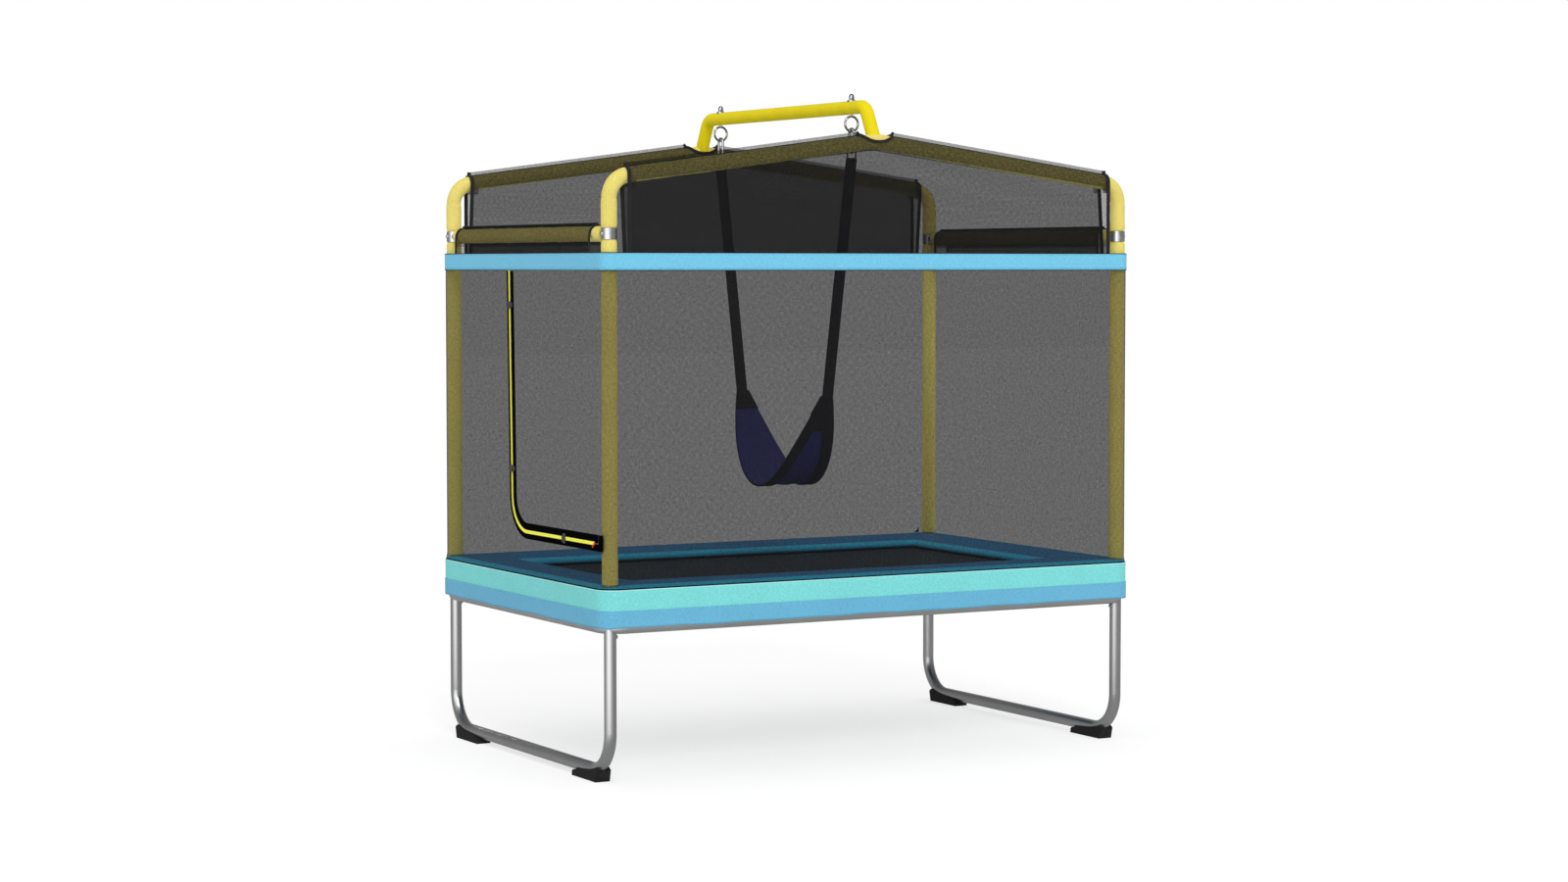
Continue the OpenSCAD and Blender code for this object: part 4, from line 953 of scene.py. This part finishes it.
# ---- net hem ----
# A folded strip of black tape closes the foot of the net just above the skirt. A small gusset of the
# same tape is sewn into the net at the foot of each rear pole.
hem_levels = [
    (0.91580, 0.59280, 0.0553, 0.5664), (0.91680, 0.59380, 0.0563, 0.5664), (0.91700, 0.59400, 0.0565, 0.5645),
    (0.91690, 0.59390, 0.0564, 0.5620), (0.91590, 0.59290, 0.0554, 0.5620),
]
hem_tape = cloth_finish("hem_tape", (0.004, 0.004, 0.005), 0.8, 0.0012, 0.0002, sheen=0.0, gloss=0.03)
net_hem = lofted("net_hem_tape", ringed(hem_levels), hem_tape, closed_columns=True, closed_rows=True)
settle(outward(net_hem), "root", "black_webbing", "net_hem")
GUSSET_R, GUSSET_Y = 0.024, NET_Y - 0.0016
foot_x, foot_z = POLE_X - FOAM_R, PAD_TOP - 0.0035
border = [(foot_x, foot_z)]
for a in np.radians(np.linspace(0, 90, 8)):
    border.append((foot_x - GUSSET_R + GUSSET_R * math.cos(a), foot_z + GUSSET_R - GUSSET_R * math.sin(a)))
gussets = []
for way in (-1, 1):
    patch = flat_cloth("gusset", border, [], lambda u, v: (way * u, GUSSET_Y, v), hem_tape)
    gussets.append(thicken(patch, 0.0010))
settle(joined("net_gussets", gussets), "root", "black_webbing")

# ---- top band ----
# Sky blue oxford cloth sewn round the top of the net, which hangs from it. It is bound along both
# edges with thin black tape and held by a seam near each.
band_blue = cloth_finish("band_oxford", (0.182, 0.590, 0.835), 0.55, 0.0009, 0.00012, spread=0.16, slub=0.85)
BAND, BAND_HIGH, BAND_LOW = (0.9103, 0.5873, 0.0353), 1.5268, 1.4762
band_rows = ringed([(*BAND, z) for z in np.linspace(BAND_HIGH, BAND_LOW, 6)])
band_cloth = thicken(lofted("band_cloth", band_rows, band_blue, closed_columns=True), 0.0012)
settle(band_cloth, "root", "sky_fabric", "band", flat=(girth(*BAND), 0.0506), held="stretched")
BIND_R = 0.0012
binds = []
for z in (BAND_HIGH, BAND_LOW):
    binds.append(wire("bind", [(x, y, z) for x, y in outline(*BAND)], BIND_R, 8, black_webbing, closed=True))
settle(joined("band_binding", binds), "root", "black_webbing")
seams = [round_seam(0.9110, 0.5880, 0.0360, z, 0.875, 0.552) for z in (1.5225, 1.4805)]
stitched("band_stitches", seams, thread_sky, "root", "sky_fabric")

# ---- gable nets ----
# A long sleeve of the same net over each gable tube. Its two sides hang to the band, and it is cut
# away at the peak, where the swing bar's foot is bolted on.
SLEEVE_FOOT, SLEEVE_END, SLEEVE_R, RIDGE, RIDGE_HALF, FLAP_IN = 1.500, 0.831, 0.0257, 0.0352, 0.0008, -0.022
NOTCH_Z, NOTCH_R, NOTCH_HALF, NOTCH_WIRE = 1.94135, 0.08377, 0.0635, 0.0046
straight_z = BEND_Z + BEND_R * math.cos(SLOPE) + (BEND_X + BEND_R * math.sin(SLOPE)) * math.tan(SLOPE)
gable_top = straight_z - PEAK_R * (1 / math.cos(SLOPE) - 1)


def roof_z(x):
    """Height of the gable's centreline at a distance from the middle."""
    x = abs(x)
    if x < PEAK_R * math.sin(SLOPE):
        return gable_top - PEAK_R + math.sqrt(PEAK_R**2 - x * x)
    if x < BEND_X + BEND_R * math.sin(SLOPE):
        return straight_z - x * math.tan(SLOPE)
    return BEND_Z + math.sqrt(max(0, BEND_R**2 - (x - BEND_X) ** 2))


def cut_half(x):
    """Height that the notch leaves at a distance from the middle."""
    if abs(x) >= NOTCH_R:
        return math.inf
    return NOTCH_Z - math.sqrt(NOTCH_R**2 - x * x)


def sleeve_half(high):
    """Half width of the sleeve at a height over the tube's centre: a loose tube, then a ridge."""
    if high >= SLEEVE_R - 0.0001:
        return RIDGE_HALF
    return max(RIDGE_HALF, math.sqrt(SLEEVE_R**2 - high * high))


def sleeve_side(x, way, face):
    """Points down one face of the gable's net at a place along it."""
    middle, cut = roof_z(x), cut_half(x)
    heights = [SLEEVE_R * math.sin(a) for a in np.radians((88, 82, 74, 64, 50, 34, 17, 0))]
    if face * way > 0:
        heights = [RIDGE, 0.0295] + heights
    top = min(RIDGE, cut - middle)
    share = np.interp(-top, [-h for h in heights], np.arange(len(heights)))
    row = []
    for place in np.linspace(share, len(heights) - 1, len(heights)):
        high = float(np.interp(place, np.arange(len(heights)), heights))
        row.append((x, way * POLE_Y + face * sleeve_half(max(0, high)), middle + high))
    shoulder, slant = row[-1][2], 0.0004 if face * way > 0 else FLAP_IN
    for part in np.linspace(0, 1, 15)[1:]:
        deep = SLEEVE_R + slant * part
        row.append((x, way * POLE_Y + face * deep, shoulder + part * (SLEEVE_FOOT - shoulder)))
    return row


stations = list(np.linspace(-SLEEVE_END, -0.07, 60)) + list(np.linspace(-0.067, 0.067, 37))
stations += list(np.linspace(0.07, SLEEVE_END, 60))
for end, way in (("front", -1), ("back", 1)):
    halves, true_area, binds = [], 0, []
    for face in (1, -1):
        rows = np.array([sleeve_side(x, way, face)[::-1] for x in stations])
        flap = lofted("flap", rows, net_mesh, net_double_and_shade)
        for side in flap.data.polygons:
            side.material_index = int(-0.027 < side.center.z - roof_z(side.center.x) < SLEEVE_R)
        halves.append(flap)
        a, b = np.diff(rows, axis=0)[:, :-1], np.diff(rows, axis=1)[:-1]
        true_area += np.linalg.norm(np.cross(a, b), axis=2).sum()
        tops = [row[-1] for row in rows if abs(row[-1][0]) < NOTCH_HALF]
        notch = [(x, y + face * 0.0006, z) for x, y, z in tops]
        binds.append(wire("bind", notch, NOTCH_WIRE, 8, black_webbing))
    for x in (-SLEEVE_END + 0.004, SLEEVE_END - 0.004):
        over = sleeve_side(x, way, 1)[::-1] + [(x, way * POLE_Y, roof_z(x) + RIDGE + 0.0008)]
        over += sleeve_side(x, way, -1)
        binds.append(ribbon("bind", over, (1, 0, 0), 0.0125, 0.0036, black_webbing))
    gable_net = joined(f"gable_net_sheet_{end}", halves)
    span, drop = 2 * SLEEVE_END, 2 * (gable_top + RIDGE - SLEEVE_FOOT)
    settle_net(gable_net, f"gable_net_{end}", flat=(span, drop), held="hung", area=float(true_area),
               rests_on=[f"gable_sleeve_{end}"])
    settle(joined(f"gable_binding_{end}", binds), "root", "black_webbing")

# ---- end nets ----
# Shorter sleeves of the same net over the end rails. Both sides are sewn to the band below, and a
# thin piping runs along the ridge.
END_R, END_HALF, END_STEPS = 0.0254, 0.485, 5


def rail_side(y, way):
    """Points over the end rail's net sleeve, from its outer foot to its inner foot."""
    drop = JOINT_Z - SLEEVE_FOOT
    parts = np.linspace(0, 1, END_STEPS + 1)
    row = [(way * (POLE_X + 0.0268 - 0.0006 * t), y, SLEEVE_FOOT + t * drop) for t in parts[:-1]]
    over = [(END_R * math.cos(a), END_R * math.sin(a)) for a in np.radians((0, 20, 40, 57, 70, 80, 86))]
    over += [(w, END_R + h) for w, h in ((0.0008, 0.002), (0, 0.0055), (-0.0008, 0.002))]
    over += [(END_R * math.cos(a), END_R * math.sin(a)) for a in np.radians((94, 100, 110, 123, 140, 160, 180))]
    row += [(way * (POLE_X + w), y, JOINT_Z + h) for w, h in over]
    row += [(way * (POLE_X - END_R + 0.005 * t), y, JOINT_Z - t * drop) for t in parts[1:]]
    return row


for side, way in (("left", -1), ("right", 1)):
    rows = np.array([rail_side(y, way) for y in np.linspace(-END_HALF, END_HALF, 50)])
    end_net = lofted(f"end_net_sheet_{side}", rows, net_mesh, net_folded, net_double_and_shade)
    # Round the rail the sleeve's inner side takes the denser net: painted shade on the side that faces into the
    # enclosure; the outer side takes the folded net.
    for face in end_net.data.polygons:
        inner = abs(face.center.x) < POLE_X
        face.material_index = (1 + inner) * int(face.center.z > JOINT_Z - 0.026)
    settle_net(end_net, f"end_net_{side}", flat=cloth_size(rows)[::-1], held="hung", rests_on=[f"end_sleeve_{side}"])
    binds = [ribbon("bind", rail_side(y, way), (0, 1, 0), 0.010, 0.0032, black_webbing) for y in (-0.481, 0.481)]
    line = [(way * POLE_X, y, JOINT_Z + 0.0309) for y in np.linspace(-END_HALF, END_HALF, 30)]
    binds.append(wire("bind", line, 0.0016, 6, black_webbing))
    settle(joined(f"end_binding_{side}", binds), "root", "black_webbing")

# ---- door ----
# A panel of the net that opens round its front edge. A black tape with a yellow coil zip runs level
# below it and up its rear edge, and three small moulded clips close over the zip. The red slider
# runs on the coil and carries a slim pull.
EDGE_Y, EDGE_TOP = HINGE_Y + 0.0001, DOOR_TOP - 0.0012
door_shape = [(min(max(y, EDGE_Y), left_y), min(z, EDGE_TOP)) for y, z in zip_line(0.0008)]
door_shape += [(door_shape[-1][0] * 0.5 + HINGE_Y * 0.5, EDGE_TOP), (EDGE_Y, EDGE_TOP)]
door_sheet = flat_cloth("door_net_sheet", door_shape, [], lambda y, z: (-NET_X, y, z), net_mesh)
door_size = (max(y for y, _ in door_shape) - HINGE_Y, DOOR_TOP - ZIP_Z)
settle_net(door_sheet, "door_net", "door", flat=door_size, held="stretched", rests_on=[], area=door_area * 0.998)

zip_tape = strap_finish("zip_tape", (0.0016, 0.0016, 0.0018), 0.0009, lift=0.0001, gloss=0.02)
zip_tape.node_tree.nodes["Principled BSDF"].inputs["IOR"].default_value = 1.0
refinish(zip_tape, "zip_tape_wall", "zip_tape_door")
# The tape runs on past the hinge and round the corner sleeve, with a filler below and a backing.
TAPE_X, TAPE_W, TAPE_THICK, TAPE_WRAP = NET_X + 0.0022, 0.048, 0.0014, 26
tape_path = [(-TAPE_X, y, ZIP_Z + 0.002) for y in np.linspace(HINGE_Y - 0.003, -left_y, 4)[:-1]]
for a in np.radians(np.linspace(180, 180 + TAPE_WRAP, 9)):
    reach = TAPE_X - NET_X + NET_R
    tape_path.append((NET_R - NET_X + reach * math.cos(a), -left_y + reach * math.sin(a), ZIP_Z + 0.002))
below = [(-TAPE_X, y, ZIP_Z - 0.01125) for y in (HINGE_Y + 0.0045, HINGE_Y - 0.0035)]
behind = [(-NET_X + 0.0009, y, ZIP_Z + 0.0138) for y in (HINGE_Y - 0.0003, HINGE_Y - 0.0045)]
above = [(-TAPE_X, y, ZIP_Z + 0.01385) for y in (HINGE_Y + 0.0045, HINGE_Y + 0.0007)]
tape_end = joined("zip_tape_end", [
    ribbon("tape", tape_path, (0, 0, 1), TAPE_W, TAPE_THICK, zip_tape),
    ribbon("tape", below, (0, 0, 1), 0.0215, TAPE_THICK, zip_tape),
    ribbon("tape", behind, (0, 0, 1), 0.0243, 0.0012, zip_tape),
])
settle(tape_end, "root", "black_webbing")
settle(ribbon("zip_tape_hinge", above, (0, 0, 1), 0.0243, TAPE_THICK, zip_tape), "door", "black_webbing")

zip_yellow = hard_finish("zip_yellow_nylon", (1.0, 0.98, 0.11), 0.4, 120, (0.34, 0.46),
                         ((1.0, 0.97, 0.10), (1.0, 1.0, 0.13)), gloss=0.2)
TOOTH_PITCH, COIL_SHIFT, COIL_X = 0.0028, 0.0026, 0.9109


def tooth():
    """One turn of the zip's coil: a rounded bar across the tape with a thicker head."""
    path = [(0, -0.0022, 0), (0, -0.0016, 0.0004), (0, 0.0012, 0.0004), (0, 0.0022, 0)]
    return wire("tooth", path, [0.0010, 0.0013, 0.0013, 0.0013], 6, zip_yellow)


def coil_row(shift):
    """Places and turns of the teeth along the zip's line, moved to one side of it."""
    line = np.array(zip_line(shift))
    line = line[line[:, 0] > HINGE_Y + 0.004]
    run = lengths_along(line)
    even = np.arange(0.001, run[-1] - 0.002, TOOTH_PITCH)
    if shift < 0:
        even = even + TOOTH_PITCH / 2
    ys, zs = np.interp(even, run, line[:, 0]), np.interp(even, run, line[:, 1])
    ahead = np.arctan2(np.gradient(zs), np.gradient(ys))
    way = math.copysign(1, -shift)
    out = Vector((-1, 0, 0))
    turns = []
    for angle in ahead:
        over = Vector((0, -way * math.sin(angle), way * math.cos(angle)))
        turns.append(tuple(Matrix((over.cross(out), over, out)).transposed().to_euler()))
    return [(-COIL_X, y, z) for y, z in zip(ys, zs)], turns


for side, shift, body in (("wall", -COIL_SHIFT, "root"), ("door", COIL_SHIFT, "door")):
    coil = repeated("zip_coil_" + side, *coil_row(shift), tooth(), zip_yellow)
    settle(coil, body, "zip_yellow", "zip_teeth_" + side)

clip_grey = hard_finish("clip_grey_nylon", (0.062, 0.058, 0.066), 0.45, 80, (0.38, 0.52),
                        ((0.055, 0.052, 0.058), (0.070, 0.066, 0.074)), gloss=0.25, grain=(1200, 0.0002, 0.5))


def soft_section(half_u, half_v, power, count):
    """Points round a rectangle with soft corners."""
    turns = [(math.cos(a), math.sin(a)) for a in np.linspace(0, 2 * math.pi, count, endpoint=False)]
    return [
        (half_u * math.copysign(abs(c) ** power, c), half_v * math.copysign(abs(s) ** power, s)) for c, s in turns
    ]


def moulded(y, z, half_y, half_z, levels, material=clip_grey):
    """A rounded block on the door's outer face; levels give its reach outwards and its scale there."""
    rows = []
    for out, size in levels:
        rows.append([(-out, y + u, z + v) for u, v in soft_section(size * half_y, size * half_z, 0.4, 24)])
    return rounded_bar("moulding", rows, material)


# Reach and scale of the levels of a clip's plate, its domed middle and its two pins.
PLATE = ((0.9112, 0.96), (0.9118, 1.0), (0.9136, 1.0), (0.9142, 0.94))
DOME = ((0.9136, 1.0), (0.9158, 1.0), (0.9168, 0.9), (0.9170, 0.7))
STUD = ((0.9138, 1.0), (0.9146, 1.0), (0.9151, 0.7))
HIGH_CLIP, MIDDLE_CLIP = 1.372, 0.879
upright_y, upright_z = zip(*zip_line(0))
clips = []
for y, z, long_y, long_z, pin in (
    (np.interp(HIGH_CLIP, upright_z[40:], upright_y[40:]), HIGH_CLIP, 0.0205, 0.0085, (0.0160, 0)),
    (np.interp(MIDDLE_CLIP, upright_z[36:], upright_y[36:]), MIDDLE_CLIP, 0.0205, 0.0085, (0.0160, 0)),
    (HINGE_Y + 0.226, ZIP_Z, 0.0085, 0.0150, (0, 0.0118)),
):
    clips += [moulded(y, z, long_y, long_z, PLATE), moulded(y, z, 0.0100, 0.0105, DOME)]
    clips += [moulded(y + way * pin[0], z + way * pin[1], 0.0022, 0.0022, STUD) for way in (-1, 1)]
settle(joined("door_clip_set", clips), "door", "black_webbing", "door_clips")

red_enamel = hard_finish("red_enamel", (0.92, 0.04, 0.006), 0.4, 150, (0.32, 0.46),
                         ((0.88, 0.034, 0.004), (0.96, 0.046, 0.007)), gloss=0.08)
HULL = ((0.9129, 0.94), (0.9132, 1), (0.9138, 1), (0.9141, 0.9))
BRIDGE = ((0.9139, 1), (0.9156, 1), (0.9162, 0.9), (0.9164, 0.6))
PIN_X = (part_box("zip_pull")[0][0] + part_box("zip_pull")[1][0]) / 2
SLIDER_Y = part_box("zip_slider")[0][1] + 0.0125
slider = joined("zip_slider_body", [
    moulded(SLIDER_Y, ZIP_Z, 0.0034, 0.0046, HULL, red_enamel),
    moulded(SLIDER_Y, ZIP_Z, 0.0018, 0.0024, BRIDGE, red_enamel),
])
settle(slider, "zip_slider", "zip_red", "zip_slider")
# The pull hangs from the slider's bridge by two cheeks and leans out. Its rows go down from the pin.
LEAN = math.radians(25)
down, face = np.array((-math.sin(LEAN), 0, -math.cos(LEAN))), np.array((-math.cos(LEAN), 0, math.sin(LEAN)))
pin, along = np.array((PIN_X, SLIDER_Y, ZIP_Z)), np.array((0, 1, 0))
rows = []
for s, half, deep in (
    (0.0030, 0.0020, 0.0004), (0.0032, 0.0024, 0.0007), (0.0070, 0.0023, 0.0007),
    (0.0108, 0.0029, 0.0007), (0.0121, 0.0025, 0.0006), (0.0125, 0.0016, 0.0003),
):
    rows.append([pin + down * s + along * u + face * v for u, v in soft_section(half, deep, 0.5, 20)])
parts = [rounded_bar("tab", rows, red_enamel)]
for way in (-1, 1):
    cheek = ((0.0019, 0), (0.0023, 0), (0.0025, 0.0004), (0.0021, 0.0038))
    parts.append(wire("cheek", [pin + along * way * y + down * s for y, s in cheek], 0.0006, 8, red_enamel))
settle(joined("zip_pull_tab", parts), "zip_pull", "zip_red", "zip_pull")

# ---- swing bar ----
# One bent steel tube in brighter yellow, bolted through both gable peaks, with two eye bolts
# below it and a domed nut on each.
bar_paint = hard_finish("bar_yellow_paint", (0.82, 0.67, 0.008), 0.45, 30, (0.40, 0.50),
                        ((0.80, 0.65, 0.006), (0.84, 0.69, 0.010)), gloss=0.06, grain=PAINT_GRAIN)
refinish(bar_paint, "swing_bar")
chrome = hard_finish("bright_plate", (0.55, 0.56, 0.59), 0.14, 60, (0.10, 0.18),
                     ((0.52, 0.53, 0.56), (0.58, 0.59, 0.62)), 1.0)
refinish(chrome, "eye_bolts", "cap_nuts")

# ---- carabiners ----
# Snap hooks of bright plated wire that hang from the eye bolts. Each has a spring gate on a pin and
# holds a welded rectangular link for one strap.
refinish(chrome, "carabiners", "gate_front", "gate_back")

# ---- swing seat ----
# A sling of navy cloth that hangs between the two straps. It is edged with black webbing on its
# outer side and sewn into a strap at both ends.
seat_cloth = cloth_finish("seat_navy_cloth", (0.036, 0.036, 0.175), 0.6, 0.0011, 0.00025, spread=0.1)
strap_black = cloth_finish("strap_black", (0.017, 0.017, 0.019), 0.7, 0.0014, 0.0003)
SEAT_Z, SEAT_TOP, SEAT_END, SEAT_W, STRAP_W = 0.805, 1.090, 0.270, 0.185, 0.038
# Points in Y and Z of the sling, from its front end down through the seat to the back end.
sling = np.array([(SEAT_END * t, SEAT_Z + (SEAT_TOP - SEAT_Z) * t * t) for t in np.linspace(-1, 1, 241)])
run = lengths_along(sling)
even = np.linspace(0, run[-1], 111)
sling = np.stack([np.interp(even, run, sling[:, 0]), np.interp(even, run, sling[:, 1])], 1)
slope = np.gradient(sling, axis=0)
slope /= np.linalg.norm(slope, axis=1)[:, None]
down = np.stack([slope[:, 1], -slope[:, 0]], 1)


def seat_half(z):
    """Half width of the sling at a height: widest at the seat, a strap's width at its ends."""
    return (SEAT_W - (SEAT_W - STRAP_W) * max(0, (z - SEAT_Z) / (SEAT_TOP - SEAT_Z)) ** 1.42) / 2


rows = []
for (y, z), (ny, nz) in zip(sling, down):
    half = seat_half(z) - 0.0005
    low = 1 - min(1, (z - SEAT_Z) / 0.16)
    row = []
    for t in np.linspace(-1, 1, 21):
        sag = 0.0018 * math.cos(t * 9) * math.cos(y * 40) * (1 - t * t) * (0.3 + 0.7 * low) - 0.002 * low * t * t
        row.append((half * t, y + ny * (sag + 0.0015), z + nz * (sag + 0.0015)))
    rows.append(row)
seat = thicken(lofted("seat_sling", rows, seat_cloth), 0.0022)
width_mean = sum(seat_half(z) * 2 for _, z in sling) / len(sling)
settle(seat, "swing", "seat_fabric", "seat", flat=(SEAT_W, float(run[-1])), area=float(width_mean * run[-1]),
       held="hung", rests_on=["strap_pair"])
# How far the edging stands past the cloth and below it, and the seams on it.
EDGE_OVER, EDGE_LIFT, SEAM_LIFT = 0.0012, 0.0046, 0.0061
edges = []
for way in (-1, 1):
    line, widths = [], []
    for (y, z), (ny, nz) in zip(sling, down):
        inner = max(seat_half(z) - STRAP_W, 0.0004)
        widths.append(seat_half(z) + EDGE_OVER - inner)
        line.append((way * (inner + widths[-1] / 2), y + ny * EDGE_LIFT, z + nz * EDGE_LIFT))
    edges.append(ribbon("edge", line, (1, 0, 0), widths, 0.0028, strap_black))
PATCH_IN, PATCH_OUT = 1.033, 0.981
for way in (-1, 1):
    for low, lift in ((PATCH_IN, -0.0012), (PATCH_OUT, 0.0044)):
        rows = []
        for (y, z), (ny, nz) in zip(sling, down):
            if y * way > 0 and z > low - 0.004:
                level = max(z, low)
                half = seat_half(level) + EDGE_OVER
                rows.append([(half * t, y + ny * lift, level + nz * lift) for t in np.linspace(-1, 1, 9)])
        edges.append(thicken(lofted("patch", rows, strap_black), 0.0016))
for edge in edges[2:]:
    with bpy.context.temp_override(object=edge, active_object=edge):
        bpy.ops.object.modifier_apply(modifier="thickness")
seams = []
for way in (-1, 1):
    for inset in (0.003, STRAP_W - 0.003):
        path, facing = [], []
        for (y, z), (ny, nz) in zip(sling, down):
            if seat_half(z) > inset + 0.004:
                path.append((way * (seat_half(z) - inset), y + ny * SEAM_LIFT, z + nz * SEAM_LIFT))
                facing.append((0, ny, nz))
        seams.append((path, facing))
stitched("seat_stitches", seams, thread_black, "swing", "black_webbing")
settle(joined("seat_edging", edges), "swing", "black_webbing")

# ---- straps ----
# Flat black webbing from each end of the sling up to the welded link in the carabiner. Its upper
# end goes round the link, and its lower end is sewn on to the sling.
LINK_Z, STRAP_FOOT, STRAP_Y, STRAP_OUT = 1.8120, SEAT_TOP - 0.01, SEAT_END + 0.0045, 0.1455
straps = []
for way in (-1, 1):
    line = [
        (0, way * (STRAP_Y + STRAP_OUT * t), STRAP_FOOT + (LINK_Z - STRAP_FOOT) * t) for t in np.linspace(0, 1, 60)
    ]
    straps.append(ribbon("strap", line, (1, 0, 0), STRAP_W, 0.003, strap_black))
settle(joined("strap_pair", straps), "swing", "black_webbing", "straps")

# ---- floor and light ----
# A plain white floor and an even white surround, with one broad key light from the front left.
# Polished metal sees a graded field in their place: bright towards KEY_SIDE, grey elsewhere.
KEY_SIDE, FAR_SIDE = (-0.779, -0.627, 0.0), (0.487, 0.873, 0.0)
FLOOR = 40


def towards(tree, way, side, power):
    """How near a direction is to a side, from 1 down to 0 at right angles."""
    facing = put(tree, "ShaderNodeVectorMath", {0: way, 1: side}, operation="DOT_PRODUCT").outputs["Value"]
    return reckon(tree, "POWER", reckon(tree, "MAXIMUM", facing, 0.0), power)


def rays(tree):
    """Whether a ray comes straight from the camera, and whether it comes off polished metal."""
    ray = put(tree, "ShaderNodeLightPath", {})
    seen = reckon(tree, "MAXIMUM", ray.outputs["Is Camera Ray"], ray.outputs["Is Transmission Ray"])
    return seen, ray.outputs["Is Glossy Ray"]


floor_white, tree, shader = finish_of("studio_white", (0.8, 0.8, 0.8), 0.9, gloss=0.0)
corners = [(-FLOOR, -FLOOR, 0), (FLOOR, -FLOOR, 0), (FLOOR, FLOOR, 0), (-FLOOR, FLOOR, 0)]
floor = piece_of("studio_floor", corners, [(0, 1, 2, 3)], floor_white)
seen, shiny = rays(tree)
shader.inputs["Emission Color"].default_value = (1, 1, 1, 1)
place = put(tree, "ShaderNodeTexCoord", {}).outputs["Object"]
way = put(tree, "ShaderNodeVectorMath", {0: place}, operation="NORMALIZE").outputs["Vector"]
away = put(tree, "ShaderNodeVectorMath", {0: place}, operation="LENGTH").outputs["Value"]
away = put(tree, "ShaderNodeMapRange", {0: away, 1: 1.3, 2: 3.0, 3: 0.0, 4: 1.35}).outputs[0]
bright = reckon(tree, "MULTIPLY_ADD", towards(tree, way, KEY_SIDE, 5.0), away, 0.22)
glow = reckon(tree, "MULTIPLY_ADD", shiny, bright, reckon(tree, "MULTIPLY", seen, 0.68))
tree.links.new(glow, shader.inputs["Emission Strength"])
grey = reckon(tree, "SUBTRACT", reckon(tree, "MULTIPLY_ADD", seen, -0.43, 0.8), reckon(tree, "MULTIPLY", shiny, 0.7))
tree.links.new(grey, shader.inputs["Base Color"])

world = bpy.data.worlds.new("studio")
bpy.context.scene.world = world
world.use_nodes = True
tree = world.node_tree
tree.nodes.clear()
seen, shiny = rays(tree)
way = put(tree, "ShaderNodeTexCoord", {}).outputs["Generated"]
front, back, above = (
    reckon(tree, "MULTIPLY", towards(tree, way, side, power), strength)
    for side, power, strength in ((KEY_SIDE, 5.0, 1.7), (FAR_SIDE, 2.0, 0.08), ((0.0, 0.0, 1.0), 1.0, -0.2))
)
gloss = reckon(tree, "ADD", reckon(tree, "ADD", front, back), reckon(tree, "ADD", above, 0.24))
matt = reckon(tree, "MULTIPLY", reckon(tree, "SUBTRACT", 1.0, shiny), 0.78)
light = reckon(tree, "ADD", matt, reckon(tree, "MULTIPLY", gloss, shiny))
other = reckon(tree, "SUBTRACT", 1.0, seen)
strength = reckon(tree, "ADD", seen, reckon(tree, "MULTIPLY", light, other))
shine = put(tree, "ShaderNodeBackground", {"Color": (1, 1, 1, 1), "Strength": strength})
put(tree, "ShaderNodeOutputWorld", {"Surface": shine.outputs[0]})

key = bpy.data.objects.new("key_light", bpy.data.lights.new("key_light", "SUN"))
key.data.energy = 1.1
key.data.angle = math.radians(20)
key.rotation_euler = Vector((0.25, 0.75, -0.6)).to_track_quat("-Z", "Y").to_euler()
bpy.context.scene.collection.objects.link(key)
bpy.context.scene.view_settings.view_transform = "Standard"
